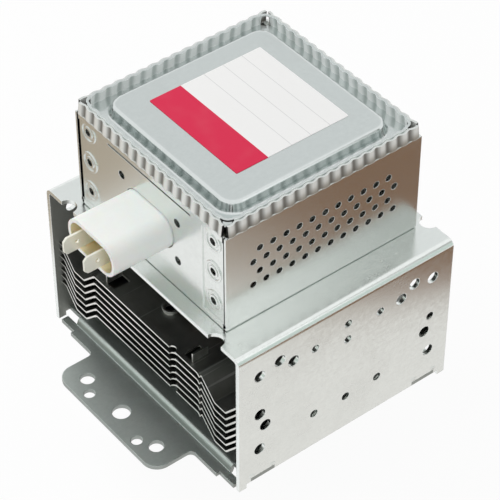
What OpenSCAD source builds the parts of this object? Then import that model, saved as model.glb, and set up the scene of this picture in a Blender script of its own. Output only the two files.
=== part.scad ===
// Magnetron for a household microwave oven: yoke, cooling fins, filter box, connector and vacuum tube.
// Millimetres, Z up. The origin is on the antenna's axis, on the face that bolts to the waveguide.
// The connector looks along -Y, the drilled side walls along X, and the antenna points down.

/* [Yoke] */
// Outer width across the side walls
yoke_width = 100.3; // [94:0.1:108]
// Depth of the side walls and the top
yoke_depth = 85.8; // [82:0.1:92]
// Top of the yoke above the mounting face
yoke_height = 58.7; // [56:0.1:64]
// Steel thickness
yoke_sheet = 1.5; // [1.2:0.1:2]
// Outer radius of the two top bends
bend_radius = 2.5; // [2.2:0.1:4]
// Length of the foot at each end of a wall
foot_length = 2.9; // [2:0.1:4]
// Drop of the foot below the wall's lower edge
foot_drop = 1.8; // [1:0.1:2.2]
// Diameter of the large wall holes
wall_hole_d = 4.2; // [3.4:0.1:4.6]
// Diameter of the small wall holes
wall_pilot_d = 3; // [2:0.1:3.4]
// Radius of the half-round notches in the top's edges
notch_r = 3.2; // [2:0.1:4]
// Distance of a notch from the middle
notch_x = 38.3; // [34:0.1:40]

/* [Mounting plate] */
// Steel thickness
plate_sheet = 1.5; // [1.2:0.1:2]
// Height of the raised middle above the mounting face
plate_rise = 2.5; // [2.2:0.1:3.5]
// Sideways run of the step up to the middle
step_run = 0.9; // [0.6:0.1:1.5]
// Distance of the step's foot from the wall's end
step_inset = 3.1; // [2.6:0.1:4]
// How far the flange passes the wall's ends
flange_lip = 1.3; // [0.5:0.1:2]
// Width of a mounting tab
tab_width = 54.4; // [48:0.1:60]
// Reach of a tab past the wall's ends
tab_reach = 16.4; // [15:0.1:19]
// Radius of the tab's outer corners
tab_corner = 5.5; // [2:0.1:7]
// Radius of the tab's inner corners
tab_fillet = 2; // [1:0.1:4]
// Diameter of the four mounting holes
mount_hole_d = 5; // [4:0.1:5.6]
// Mounting holes, distance between centres across the tab
mount_span_x = 38; // [36:0.1:41]
// Mounting holes, distance of the centre past the wall's end
mount_past = 9.3; // [8:0.1:10]
// Diameter of the four small tab holes
tab_pilot_d = 3.9; // [3:0.1:4.2]
// Small tab holes, distance between centres across the tab
tab_pilot_span = 26.2; // [24:0.1:28]
// Small tab holes, distance of the centre past the wall's end
tab_pilot_past = 12.7; // [11:0.1:13]
// Diameter of the hole in the middle of each tab
tab_middle_d = 6.2; // [5:0.1:8]
// Length of a tenon that locks the plate into the wall
tenon_length = 9.5; // [6:0.1:12]
// Gap from a tenon to the step
tenon_gap = 0.65; // [0.6:0.05:2]
// Distance from the middle at which the step ends and a relief slot begins
relief_x = 42; // [40.5:0.1:44]

/* [Cooling fins] */
// Aluminium thickness
fin_sheet = 0.6; // [0.4:0.05:0.8]
// Distance between two fins
fin_pitch = 2.94; // [2.5:0.02:3.2]
// Gap from the lower magnet to the first fin
fin_gap = 0.6; // [0.4:0.1:1.2]
// Depth of the flat middle
fin_depth = 83; // [70:0.1:84]
// Set-back of each wing's edge behind the flat's edge
wing_setback = 0.8; // [0.4:0.1:3]
// Fall of each wing below the flat
wing_fall = 7.6; // [5:0.1:8]
// Fall of the wing's end, at the wall
wing_end_fall = 0.8; // [0.4:0.1:2]
// Flat end of the wing, at the wall
wing_end = 2.55; // [1.5:0.05:4]
// Run of the slope up to the wall
wing_rise_run = 5.6; // [4:0.1:8]
// Floor of the wing
wing_floor = 5.5; // [3:0.1:7]
// Run of the slope down from the flat
wing_fall_run = 7.6; // [6:0.1:9]
// Radius of the bends in a fin
fin_bend = 1; // [0.8:0.1:1.5]
// Distance of the edge notch from the middle
fin_notch_x = 14.4; // [10:0.1:18]
// Radius of the edge notch
fin_notch_r = 1.5; // [1:0.1:2]
// Height of the four upright tongues on the top fin
tongue_height = 4; // [2:0.1:6]
// Length of a tongue
tongue_length = 6; // [4:0.1:8]
// Distance of a tongue from the middle, across
tongue_x = 22.8; // [21:0.1:24]
// Distance of a tongue's middle from the middle, along
tongue_y = 36.8; // [33:0.1:37]
// Outer diameter of the two rolled eyelets in the top fin
eyelet_d = 5.4; // [4.6:0.1:7]
// Height of an eyelet
eyelet_height = 1.3; // [1:0.1:2.5]
// Distance of an eyelet from the middle
eyelet_y = 31; // [28:0.1:34]

/* [Magnets and tube] */
// Gap from the ring magnets' edge to the fins' first bend
magnet_clear = 0.4; // [0.2:0.1:2]
// Bore of the ring magnets
magnet_bore = 22; // [20:0.1:24]
// Height of a ring magnet
magnet_height = 12.5; // [11:0.1:14]
// Outer diameter of the anode
anode_d = 40; // [37:0.1:42]
// Wall of the anode
anode_wall = 2.5; // [2:0.1:4]
// Thickness of the pole pieces
pole_sheet = 1.6; // [1.2:0.1:2]
// Height of a pole piece's cone
pole_cone = 5.2; // [4:0.1:6]
// Bore of a pole piece
pole_bore = 9.2; // [8.6:0.1:10]
// Height of the vanes
vane_height = 9.4; // [8:0.1:10]
// Thickness of a vane
vane_sheet = 1.9; // [1.4:0.1:2]
// Diameter of the space inside the vanes
vane_bore = 9; // [8.6:0.1:10]
// Width and height of a strap ring
strap_size = 0.9; // [0.6:0.1:1]
// Outer diameter of the tube's sleeves
sleeve_d = 18; // [17:0.1:19]
// Wall of the sleeves
sleeve_wall = 0.8; // [0.6:0.1:1]
// Diameter of the holes in yoke and plate that the sleeves pass through
sleeve_hole = 24; // [22.5:0.1:26]

/* [Cathode and antenna] */
// Diameter of the filament's coil, to the middle of the wire
filament_d = 4; // [3.6:0.1:4.4]
// Diameter of the filament's wire
filament_wire = 0.7; // [0.4:0.1:0.8]
// Turns of the filament
filament_turns = 6; // [4:1:8]
// Diameter of the end hats
hat_d = 7.6; // [7:0.1:8]
// Thickness of the end hats
hat_sheet = 1; // [0.8:0.1:1.4]
// Diameter of the leads
lead_d = 1.5; // [1:0.1:1.6]
// Distance between the middles of the two leads
lead_span = 2.9; // [2.5:0.1:3]
// Length of the upper sleeve above the yoke
stem_rise = 5; // [3:0.1:7]
// Height of the upper ceramic
stem_ceramic_h = 8; // [6:0.1:9]
// Thickness of the terminals on it
stem_terminal_h = 1; // [0.8:0.1:1.5]
// Length of the lower sleeve below the mounting face
antenna_drop = 3; // [2:0.1:6]
// Height of the antenna's ceramic
antenna_ceramic_h = 10; // [8:0.1:12]
// Wall of the antenna's ceramic
antenna_ceramic_wall = 2.6; // [2:0.1:3]
// Outer diameter of the antenna's cap
cap_d = 15.6; // [14.6:0.1:17]
// Height of the cap
cap_height = 13.5; // [11.5:0.1:16]
// Wall of the cap
cap_wall = 0.6; // [0.5:0.1:0.8]
// Diameter of the antenna's rod
rod_d = 2; // [1.6:0.1:2.4]
// Distance from the axis at which the rod leaves its vane
rod_x = 6.6; // [6.4:0.1:6.8]
// Outer diameter of the exhaust tube
exhaust_d = 5; // [4.6:0.1:6]
// Length of the exhaust tube
exhaust_length = 9; // [7:0.1:10]
// Outer diameter of the knitted gasket
gasket_d = 34; // [31:0.1:38]
// How far the loose gasket stands proud of the mounting face
gasket_proud = 0.8; // [0.3:0.1:2]

/* [Filter box] */
// Outer width across X
box_width = 75.4; // [70:0.1:80]
// Outer depth along Y
box_depth = 75.7; // [70:0.1:80]
// Height from the yoke to the rim's top
box_height = 42; // [40:0.1:48]
// Steel thickness
box_sheet = 0.8; // [0.6:0.1:1]
// Height of the crimped rim
rim_height = 4.7; // [4.2:0.1:6]
// How far the pillows of the rim stand out of the grooves between them
pillow_out = 0.5; // [0.3:0.05:0.6]
// How far the grooves lie behind the wall at the rim's foot
groove_foot = 0.25; // [0.15:0.05:0.35]
// How far the grooves lie behind the wall at the rim's top
groove_in = 0.8; // [0.6:0.05:1]
// Radius of a pillow
pillow_r = 3.6; // [3.4:0.1:4]
// How far the box's rim stays below the cover's
rim_drop = 0.4; // [0.2:0.05:0.8]
// Gap between the front or back rim and each corner
rim_gap = 1.8; // [1.6:0.1:2.4]
// Gap between a side rim and each corner
rim_side_gap = 1.2; // [1:0.1:1.6]
// Distance between two pillows of the rim
pillow_pitch = 4.42; // [4:0.02:4.8]
// Radius of the cover's corners
cover_corner = 4.5; // [3.5:0.1:5.5]
// Reach of the relief cut at each corner of the cover, from the box's corner
cover_relief = 4.9; // [4.7:0.05:5.2]
// Height of the strip that bridges each relief at the top
relief_strip = 0.6; // [0.5:0.05:1]
// Depth of the ledge below the rim's top
ledge_depth = 3.8; // [3:0.1:4]
// Width and depth of the raised panel's top
panel_top = 61.3; // [50:0.1:62]
// Sideways run of the raised panel's sides
panel_run = 1; // [0.6:0.1:2]
// Corner radius of the raised panel's top
panel_corner = 5; // [4:0.1:8]
// Radius of the bends between ledge, slope and panel
panel_bend = 1.3; // [0.8:0.1:1.5]
// Width and depth of the label
label_size = 43.3; // [30:0.1:48]
// Place of the label's middle along X
label_x = -0.9; // [-3:0.1:3]
// Place of the label's middle along Y
label_y = 1.2; // [-3:0.1:3]
// Thickness of the label
label_sheet_t = 0.15; // [0.1:0.05:0.3]
// Diameter of the vent holes
vent_d = 2.4; // [1.6:0.1:3]
// Distance between two vents in a row
vent_pitch = 5; // [4.4:0.1:5.4]
// Distance between two rows of vents
vent_row = 4.58; // [4:0.02:5]
// Height of the lowest row above the yoke
vent_base = 13.6; // [10:0.1:16]
// Width of the stepped strip at each edge of the front and back
strip_width = 10.4; // [9:0.1:12]
// Depth of that step
strip_step = 0.35; // [0.2:0.05:0.45]
// Width of the seam beside each side wall
seam_width = 0.5; // [0.3:0.05:0.7]
// Diameter of a clinch joint
clinch_d = 7.4; // [6:0.1:8]
// Distance of the highest clinch below the rim
clinch_drop = 4.9; // [4.4:0.1:7]
// Height of the lowest clinch above the yoke
clinch_base = 8.4; // [7:0.1:10]
// Length of the slot under the rim
slot_length = 41.7; // [30:0.1:46]
// Height of that slot
slot_height = 0.7; // [0.5:0.1:1]
// Drop of the slot below the rim
slot_drop = 2.2; // [1.6:0.1:3]
// Distance of each rivet from the box's middle, across and along
rivet_place = 29; // [26:0.1:31]
// Diameter of the rivets that hold the box down
rivet_d = 4; // [3:0.1:5]

/* [Connector] */
// Width of the housing
connector_width = 23.8; // [22:0.1:26]
// Height of the housing
connector_height = 12.2; // [11.4:0.1:13.4]
// Corner radius of the housing
connector_corner = 5.8; // [3:0.1:6]
// Wall of the housing
connector_wall = 1.3; // [1:0.1:1.8]
// Reach of the housing past the box
connector_reach = 21.8; // [18:0.1:26]
// Thickness of the housing's back
connector_back = 2.8; // [2:0.1:4]
// Height of the housing's middle above the yoke
connector_z = 19.6; // [18.4:0.1:20.4]
// Clearance round the housing in the box's wall
connector_clear = 0.4; // [0.2:0.1:0.6]
// Height of a blade
blade_height = 6.3; // [5:0.1:7]
// Thickness of a blade
blade_sheet = 0.8; // [0.6:0.1:1]
// Distance between the two blades
blade_span = 10.6; // [9:0.1:12]
// How far the blades pass the housing's mouth
blade_past = 6.4; // [4:0.1:8]
// Length of a blade's tail behind the capacitor
blade_tail = 5; // [4:0.1:7]
// Cut corners of a blade's tip
blade_chamfer = 1.2; // [0.6:0.1:1.6]
// Diameter of the hole in a blade
blade_hole_d = 1.5; // [1:0.1:2]
// Distance of that hole from the tip
blade_hole_in = 4.8; // [4:0.1:5.5]
// Distance between the earth plate's joints, across
earth_span_x = 28; // [27:0.1:30]
// Distance between the earth plate's joints, upright
earth_span_z = 15.3; // [14.8:0.1:17]
// Diameter of the holes at these joints
earth_hole_d = 3; // [2:0.1:3.4]
// Thickness of the earth plate
earth_sheet = 1; // [0.8:0.1:1.5]
// Margin of the earth plate round its joints
earth_margin = 3.8; // [3.2:0.1:4.5]
// Depth of the capacitor
capacitor_depth = 9; // [7:0.1:11]
// Width of the capacitor
capacitor_width = 22; // [18:0.1:24]
// Height of the capacitor
capacitor_height = 11; // [9:0.1:12]

/* [Chokes] */
// Diameter of a choke's coil, to the middle of the wire
choke_d = 6.8; // [6:0.1:7.4]
// Diameter of the choke's wire
choke_wire = 1.5; // [1.2:0.1:1.6]
// Turns of a choke
choke_turns = 8; // [5:1:9]
// Distance between two turns
choke_pitch = 2.1; // [1.9:0.05:2.4]

/* [Hidden] */
$fn = 48;
fin_count = 7;
vane_count = 10;
bend_steps = 4;
// A running gap, a cut's overshoot and the seat of a wire against a flat face
running_gap = 0.1;
over = 1;
seat_gap = 0.05;
// Gap round the antenna's rod in the pole piece
rod_gap = 0.5;

half_x = yoke_width / 2;
half_y = yoke_depth / 2;
inner_x = half_x - yoke_sheet;
yoke_under = yoke_height - yoke_sheet;
plate_top = plate_rise + plate_sheet;
step_foot_y = half_y - step_inset;
step_top_y = step_foot_y - step_run;
tenon_y = step_top_y - tenon_gap - tenon_length / 2;
lower_magnet_top = plate_top + magnet_height;
upper_magnet_base = yoke_under - magnet_height;
anode_base = lower_magnet_top + pole_sheet;
anode_top = upper_magnet_base - pole_sheet;
tube_mid = (anode_base + anode_top) / 2;
anode_bore = anode_d - 2 * anode_wall;
fin_base = lower_magnet_top + fin_gap + fin_sheet / 2;
collar_height = fin_pitch - fin_sheet;

// Bends of a fin, outwards from the middle
wing_x3 = inner_x - wing_end;
wing_x2 = wing_x3 - wing_rise_run;
wing_x1 = wing_x2 - wing_floor;
wing_x0 = wing_x1 - wing_fall_run;
magnet_d = 2 * (wing_x0 - magnet_clear);

rim_base = yoke_height + box_height - rim_height;
rim_top = yoke_height + box_height;
ledge_z = rim_top - ledge_depth;
// Flat kept beside each bend of the panel's step
panel_land = 2;
// Clearance between the box's rim and the cover's
rim_clear = 0.05;
// How far the ledge's edge lies behind the wall's face
ledge_in = 1.6 * box_sheet;
ledge_half_x = box_width / 2 - ledge_in;
ledge_half_y = box_depth / 2 - ledge_in;
box_front = -box_depth / 2;
socket_z = yoke_height + connector_z;
clinch_pitch = (rim_base - clinch_drop - yoke_height - clinch_base) / 2;
clinch_x = box_width / 2 - 1 - strip_width / 2;
mouth_y = box_front - connector_reach;
wall_inside_y = box_front + box_sheet;
capacitor_y = wall_inside_y + earth_sheet;
tail_y = capacitor_y + capacitor_depth;
stem_top = yoke_height + stem_rise;
terminal_z = stem_top + stem_ceramic_h;
terminal_top = terminal_z + stem_terminal_h;
hat_z = tube_mid + filament_turns * filament_wire * 1.7 / 2 + filament_wire;
antenna_seat = -antenna_drop - antenna_ceramic_h;
seal_h = 0.6;

// Wall holes: distance from the middle, drop below the yoke's top, diameter
wall_holes = [
    [34.8, 11, wall_hole_d],
    [27, 9.2, wall_hole_d],
    [21.7, 12.6, wall_hole_d],
    [13.1, 12.7, wall_pilot_d],
    [32.6, 33.7, wall_hole_d],
    [34.8, 43.3, wall_hole_d],
    [13, 41.8, wall_pilot_d]
];
// Holes on the wall's middle line: drop below the yoke's top
middle_holes = [10, 16.8, 42.4];
// The pair whose front hole is large and whose back hole is small
uneven_hole = [34.7, 27.8];

// Geometry helpers

function unit(v) = v / norm(v);
function left(v) = [-v[1], v[0]];
function reversed(p) = [for (i = [len(p) - 1:-1:0]) p[i]];

// A path moved sideways by d, with mitred corners
function shifted(p, d) = [
    for (i = [0:len(p) - 1])
        let (
            a = unit(i > 0 ? p[i] - p[i - 1] : p[1] - p[0]),
            b = i < len(p) - 1 ? unit(p[i + 1] - p[i]) : a,
            m = unit(left(a) + left(b))
        )
        p[i] + m * d / (m * left(a))
];

// A path with its inner corners turned into arcs of radius r
function rounded(p, r) = [
    p[0],
    for (i = [1:len(p) - 2])
        let (
            a = unit(p[i - 1] - p[i]),
            b = unit(p[i + 1] - p[i]),
            half = acos(a * b) / 2,
            c = p[i] + unit(a + b) * r / sin(half),
            u = unit(p[i] + a * r / tan(half) - c),
            v = unit(p[i] + b * r / tan(half) - c),
            turn = 180 - 2 * half
        )
        for (k = [0:bend_steps])
            c + r * (sin(turn * (1 - k / bend_steps)) * u + sin(turn * k / bend_steps) * v) / sin(turn),
    p[len(p) - 1]
];

// Section of a folded sheet, from its middle line
module sheet_section(p, t) {
    polygon(concat(shifted(p, t / 2), reversed(shifted(p, -t / 2))));
}

// Copies at the four places (x, y) and its mirror images
module at_corners(x, y) {
    for (sx = [-1, 1])
        for (sy = [-1, 1])
            translate([sx * x, sy * y, 0])
                children();
}

module rounded_square(w, h, r) {
    square([w - 2 * r, h], center = true);
    square([w, h - 2 * r], center = true);
    for (sx = [-1, 1])
        for (sy = [-1, 1])
            translate([sx * (w / 2 - r), sy * (h / 2 - r)])
                circle(r);
}

module ring(d_out, d_in, h) {
    difference() {
        cylinder(d = d_out, h = h);
        translate([0, 0, -over])
            cylinder(d = d_in, h = h + 2 * over);
    }
}

// A round wire along a path in space, as one closed skin
function wire_frames(p, i, n, out) =
    i == len(p) ? out :
    let (
        before = unit(p[max(i, 1)] - p[max(i, 1) - 1]),
        after = unit(p[min(i, len(p) - 2) + 1] - p[min(i, len(p) - 2)]),
        t = unit(before + after),
        m = unit(n - (n * t) * t)
    )
    wire_frames(p, i + 1, m, concat(out, [[m, cross(t, m)]]));

module wire(p, d, start_normal, sides = 8) {
    frames = wire_frames(p, 0, start_normal, []);
    last = len(p) - 1;
    points = [
        for (i = [0:last])
            for (k = [0:sides - 1])
                p[i] + d / 2 * (cos(360 * k / sides) * frames[i][0] + sin(360 * k / sides) * frames[i][1])
    ];
    sleeve = [
        for (i = [0:last - 1])
            for (k = [0:sides - 1])
                let (a = i * sides, b = a + sides, next = (k + 1) % sides)
                    [a + k, b + k, b + next, a + next]
    ];
    ends = [
        [for (k = [0:sides - 1]) k],
        [for (k = [sides - 1:-1:0]) last * sides + k]
    ];
    polyhedron(points, concat(sleeve, ends), convexity = 6);
}

// Yoke

module yoke_section() {
    difference() {
        union() {
            translate([-half_x, plate_rise - foot_drop])
                square([yoke_width, yoke_height - bend_radius - plate_rise + foot_drop]);
            translate([-half_x + bend_radius, yoke_height - 2 * bend_radius])
                square([yoke_width - 2 * bend_radius, 2 * bend_radius]);
            for (s = [-1, 1])
                translate([s * (half_x - bend_radius), yoke_height - bend_radius])
                    circle(bend_radius);
        }
        yoke_inside(bend_radius - yoke_sheet);
    }
}

module yoke_inside(r) {
    translate([-inner_x, -over])
        square([2 * inner_x, yoke_under - r + over]);
    translate([-inner_x + r, 0])
        square([2 * (inner_x - r), yoke_under]);
    for (s = [-1, 1])
        translate([s * (inner_x - r), yoke_under - r])
            circle(r);
}

module wall_drill(y, drop, d) {
    translate([0, y, yoke_height - drop])
        rotate([0, 90, 0])
            cylinder(d = d, h = yoke_width + 2 * over, center = true);
}

module yoke_frame() {
    color("silver")
        difference() {
            rotate([90, 0, 0])
                linear_extrude(yoke_depth, center = true)
                    yoke_section();
            // Lower edge of the walls between the feet
            translate([0, 0, plate_rise - foot_drop / 2])
                cube([yoke_width + 2, yoke_depth - 2 * foot_length, foot_drop], center = true);
            // Open slots for the plate's tenons
            for (s = [-1, 1])
                translate([0, s * tenon_y, plate_top - (plate_sheet + over) / 2])
                    cube([yoke_width + 2, tenon_length, plate_sheet + over], center = true);
            for (h = wall_holes)
                for (s = [-1, 1])
                    wall_drill(s * h[0], h[1], h[2]);
            for (drop = middle_holes)
                wall_drill(0, drop, wall_pilot_d);
            wall_drill(-uneven_hole[0], uneven_hole[1], wall_hole_d);
            wall_drill(uneven_hole[0], uneven_hole[1], wall_pilot_d);
            at_corners(notch_x, half_y)
                translate([0, 0, yoke_under - over])
                    cylinder(r = notch_r, h = yoke_sheet + 2 * over);
            translate([0, 0, yoke_under - over])
                cylinder(d = sleeve_hole, h = yoke_sheet + 2 * over);
            at_corners(rivet_place, rivet_place)
                translate([0, 0, yoke_under - over])
                    cylinder(d = rivet_d, h = yoke_sheet + 2 * over);
        }
}

// Mounting plate

module plate_section() {
    end_y = half_y + tab_reach;
    low = plate_sheet / 2;
    high = plate_rise + low;
    back = [[step_top_y, high], [step_foot_y, low], [end_y, low]];
    front = [for (p = reversed(back)) [-p[0], p[1]]];
    sheet_section(rounded(concat(front, back), plate_sheet * 0.6), plate_sheet);
}

module plate_outline() {
    flange_half = notch_x + 1.7;
    difference() {
        union() {
            square([2 * (inner_x - yoke_sheet), yoke_depth], center = true);
            square([2 * flange_half, yoke_depth + 2 * flange_lip], center = true);
            square([2 * inner_x, 2 * (step_top_y - 0.5)], center = true);
            for (s = [-1, 1])
                translate([0, s * tenon_y])
                    square([yoke_width, tenon_length], center = true);
            rounded_square(tab_width, yoke_depth + 2 * tab_reach, tab_corner);
            square([tab_width + 2 * tab_fillet, 2 * (half_y + flange_lip + tab_fillet)], center = true);
        }
        at_corners(tab_width / 2 + tab_fillet, half_y + flange_lip + tab_fillet)
            circle(tab_fillet);
        // Relief slots at the ends of the step
        at_corners(relief_x + half_x / 2, (step_top_y + step_foot_y) / 2)
            square([half_x, step_run + 1], center = true);
    }
}

module mounting_plate() {
    color("lightslategray")
        difference() {
            intersection() {
                rotate([90, 0, 90])
                    linear_extrude(yoke_width + 2, center = true)
                        plate_section();
                translate([0, 0, -over])
                    linear_extrude(plate_top + 2 * over)
                        plate_outline();
            }
            translate([0, 0, -over])
                cylinder(d = sleeve_hole, h = plate_top + 2 * over);
            translate([0, 0, -over]) {
                at_corners(mount_span_x / 2, half_y + mount_past)
                    cylinder(d = mount_hole_d, h = plate_sheet + 2 * over);
                at_corners(tab_pilot_span / 2, half_y + tab_pilot_past)
                    cylinder(d = tab_pilot_d, h = plate_sheet + 2 * over);
                for (s = [-1, 1])
                    translate([0, s * (half_y + mount_past), 0])
                        cylinder(d = tab_middle_d, h = plate_sheet + 2 * over);
            }
        }
}

// Cooling fins

function fin_path(z) =
    let (
        floor_z = z - wing_fall,
        end_z = z - wing_end_fall,
        right = [[wing_x0, z], [wing_x1, floor_z], [wing_x2, floor_z], [wing_x3, end_z], [inner_x, end_z]],
        left_half = [for (p = reversed(right)) [-p[0], p[1]]]
    )
    rounded(concat(left_half, right), fin_bend);

module fin_blank(z) {
    difference() {
        rotate([90, 0, 0])
            linear_extrude(fin_depth, center = true)
                sheet_section(fin_path(z), fin_sheet);
        at_corners((wing_x0 + half_x) / 2 + fin_bend, fin_depth / 2)
            translate([0, 0, z - wing_fall / 2])
                cube([half_x - wing_x0, 2 * wing_setback, wing_fall + 4 * fin_sheet], center = true);
        translate([0, 0, z - over])
            cylinder(d = anode_d, h = 2 * over);
        for (s = [-1, 1])
            translate([-s * fin_notch_x, s * fin_depth / 2, z - over])
                cylinder(r = fin_notch_r, h = 2 * over);
    }
}

module cooling_fin(i) {
    z = fin_base + (i - 1) * fin_pitch;
    color("gainsboro") {
        fin_blank(z);
        translate([0, 0, z + fin_sheet / 2])
            ring(anode_d + 2 * fin_sheet, anode_d, collar_height);
    }
}

module eyelet_section() {
    translate([eyelet_d / 2 - fin_sheet, 0])
        square([fin_sheet, eyelet_height]);
    translate([eyelet_d / 2, eyelet_height - fin_sheet / 2])
        circle(fin_sheet / 2);
}

module top_fin() {
    z = fin_base + (fin_count - 1) * fin_pitch;
    color("gainsboro") {
        difference() {
            cooling_fin(fin_count);
            for (s = [-1, 1])
                translate([0, s * eyelet_y, z - over])
                    cylinder(d = eyelet_d - 2 * fin_sheet, h = 2 * over);
            // Windows that the tongues are bent out of
            at_corners(tongue_x - tongue_height / 2 - fin_sheet / 2, tongue_y)
                translate([0, 0, z])
                    cube([tongue_height, tongue_length, 2 * over], center = true);
        }
        at_corners(tongue_x, tongue_y)
            translate([0, 0, z + (tongue_height - fin_sheet) / 2])
                cube([fin_sheet, tongue_length, tongue_height], center = true);
        for (s = [-1, 1])
            translate([0, s * eyelet_y, z + fin_sheet / 2])
                rotate_extrude()
                    eyelet_section();
    }
}

// Magnets and vacuum tube

module upper_magnet() {
    color("dimgray")
        translate([0, 0, upper_magnet_base])
            ring(magnet_d, magnet_bore, magnet_height);
}

module lower_magnet() {
    color("dimgray")
        translate([0, 0, plate_top])
            ring(magnet_d, magnet_bore, magnet_height);
}

module anode_cylinder() {
    color("peru")
        translate([0, 0, anode_base])
            ring(anode_d, anode_bore, anode_top - anode_base);
}

// Radius of a strap ring's middle, inner ring first
function strap_r(i) = vane_bore / 2 + (i + 0.9) * 2 * strap_size;

module strap_ring(i) {
    color("peru")
        translate([0, 0, tube_mid + vane_height / 2 - strap_size])
            ring(2 * strap_r(i) + strap_size, 2 * strap_r(i) - strap_size, strap_size);
}

// Each vane seats one ring and clears the other
module anode_vanes() {
    color("peru")
        for (v = [0:vane_count - 1])
            rotate([0, 0, v * 360 / vane_count])
                difference() {
                    intersection() {
                        translate([vane_bore / 2, -vane_sheet / 2, tube_mid - vane_height / 2])
                            cube([anode_bore, vane_sheet, vane_height]);
                        translate([0, 0, anode_base])
                            cylinder(d = anode_bore, h = anode_top - anode_base);
                    }
                    for (i = [0, 1]) {
                        play = (v + i) % 2 == 0 ? 0 : strap_size / 2;
                        cut = strap_size + 2 * play;
                        translate([0, 0, tube_mid + vane_height / 2 - strap_size - play])
                            ring(2 * strap_r(i) + cut, 2 * strap_r(i) - cut, cut + over);
                    }
                }
}

// Half section of a pole piece: a flat rim and a cone towards the vanes
module pole_section() {
    cone_foot = sleeve_d / 2 - sleeve_wall - 0.4;
    bore = pole_bore / 2;
    polygon([
        [anode_d / 2, 0], [anode_d / 2, pole_sheet], [cone_foot + pole_sheet * 0.6, pole_sheet],
        [bore + pole_sheet * 0.6, pole_sheet + pole_cone], [bore, pole_sheet + pole_cone],
        [bore, pole_cone], [cone_foot, 0]
    ]);
}

module lower_pole_piece() {
    color("lightsteelblue")
        difference() {
            translate([0, 0, lower_magnet_top])
                rotate_extrude()
                    pole_section();
            // Passage of the antenna's rod
            translate([rod_x, 0, lower_magnet_top - over])
                cylinder(d = rod_d + 2 * rod_gap, h = pole_sheet + pole_cone + 2 * over);
        }
}

module upper_pole_piece() {
    color("lightsteelblue")
        translate([0, 0, upper_magnet_base])
            mirror([0, 0, 1])
                rotate_extrude()
                    pole_section();
}

// Cathode

module cathode_filament() {
    rise = 2 * (hat_z - tube_mid) - 2 * filament_wire * 0.6;
    steps = filament_turns * 12;
    path = [
        for (i = [0:steps])
            let (r = filament_d / 2, z = tube_mid - rise / 2 + rise * i / steps)
                [r * cos(30 * i), r * sin(30 * i), z]
    ];
    color("slategray")
        wire(path, filament_wire, [1, 0, 0], 6);
}

module upper_end_hat() {
    color("darkgray")
        translate([0, 0, hat_z])
            ring(hat_d, lead_d + 0.6, hat_sheet);
}

module lower_end_hat() {
    color("darkgray")
        translate([0, 0, 2 * tube_mid - hat_z - hat_sheet])
            cylinder(d = hat_d, h = hat_sheet);
}

module centre_lead() {
    base = 2 * tube_mid - hat_z;
    color("darkgray")
        translate([0, 0, base])
            cylinder(d = lead_d, h = terminal_top - base);
}

module side_lead() {
    base = hat_z + hat_sheet;
    color("darkgray")
        translate([-lead_span, 0, base])
            cylinder(d = lead_d, h = terminal_top - base);
}

module stem_sleeve() {
    color("silver")
        translate([0, 0, upper_magnet_base])
            ring(sleeve_d, sleeve_d - 2 * sleeve_wall, stem_top - upper_magnet_base);
}

module stem_ceramic() {
    color("white")
        difference() {
            translate([0, 0, stem_top])
                cylinder(d = sleeve_d, h = stem_ceramic_h);
            for (x = [0, -lead_span])
                translate([x, 0, stem_top - over])
                    cylinder(d = lead_d, h = stem_ceramic_h + 2 * over);
        }
}

// One half-moon terminal on the ceramic, with the hole of its lead
module stem_terminal(side, lead_x) {
    split = -lead_span / 2;
    color("tan")
        difference() {
            intersection() {
                translate([0, 0, terminal_z])
                    cylinder(d = sleeve_d - 1, h = stem_terminal_h);
                translate([split + side * (sleeve_d / 2 + 0.3), 0, terminal_z])
                    cube([sleeve_d, sleeve_d, 4 * stem_terminal_h], center = true);
            }
            translate([lead_x, 0, terminal_z - over])
                cylinder(d = lead_d, h = stem_terminal_h + 2 * over);
        }
}

module centre_terminal() {
    stem_terminal(1, 0);
}

module side_terminal() {
    stem_terminal(-1, -lead_span);
}

// Antenna

module antenna_sleeve() {
    color("silver")
        translate([0, 0, -antenna_drop])
            ring(sleeve_d, sleeve_d - 2 * sleeve_wall, lower_magnet_top + antenna_drop);
}

module antenna_ceramic() {
    color("white")
        translate([0, 0, antenna_seat])
            ring(sleeve_d, sleeve_d - 2 * antenna_ceramic_wall, antenna_ceramic_h);
}

// The rod comes down off a vane, through the pole piece, and bends to the axis
module antenna_rod() {
    top = tube_mid - vane_height / 2;
    bend = plate_top + magnet_height / 2;
    tip = antenna_seat - exhaust_length + rod_d;
    path = [
        for (p = rounded([[rod_x, top], [rod_x, bend], [0, bend - 2 * rod_x], [0, tip]], 2 * rod_d))
            [p[0], 0, p[1]]
    ];
    color("peru")
        wire(path, rod_d, [0, 1, 0], 12);
}

module exhaust_tube() {
    color("peru")
        translate([0, 0, antenna_seat])
            mirror([0, 0, 1]) {
                ring(sleeve_d - 1, rod_d + 2 * running_gap, seal_h);
                ring(exhaust_d, rod_d + 2 * running_gap, exhaust_length - rod_d);
                // Pinched end
                translate([0, 0, exhaust_length - rod_d])
                    cylinder(d1 = exhaust_d, d2 = exhaust_d / 2, h = rod_d);
            }
}

// Half section of the drawn cap, upside down: flange, skirt and rounded crown
module cap_section() {
    r = cap_d / 2;
    round = 3;
    difference() {
        union() {
            square([r, cap_height - round]);
            square([r - round, cap_height]);
            translate([r - round, cap_height - round])
                circle(round);
        }
        translate([-over, -over])
            square([r - cap_wall + over, cap_height - round + over]);
        square([r - round, cap_height - cap_wall]);
        translate([r - round, cap_height - round])
            circle(round - cap_wall);
        translate([-cap_d, -over])
            square([cap_d, cap_height + 2 * over]);
    }
}

module antenna_cap() {
    color("silver")
        translate([0, 0, antenna_seat - seal_h])
            mirror([0, 0, 1])
                rotate_extrude()
                    cap_section();
}

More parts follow.
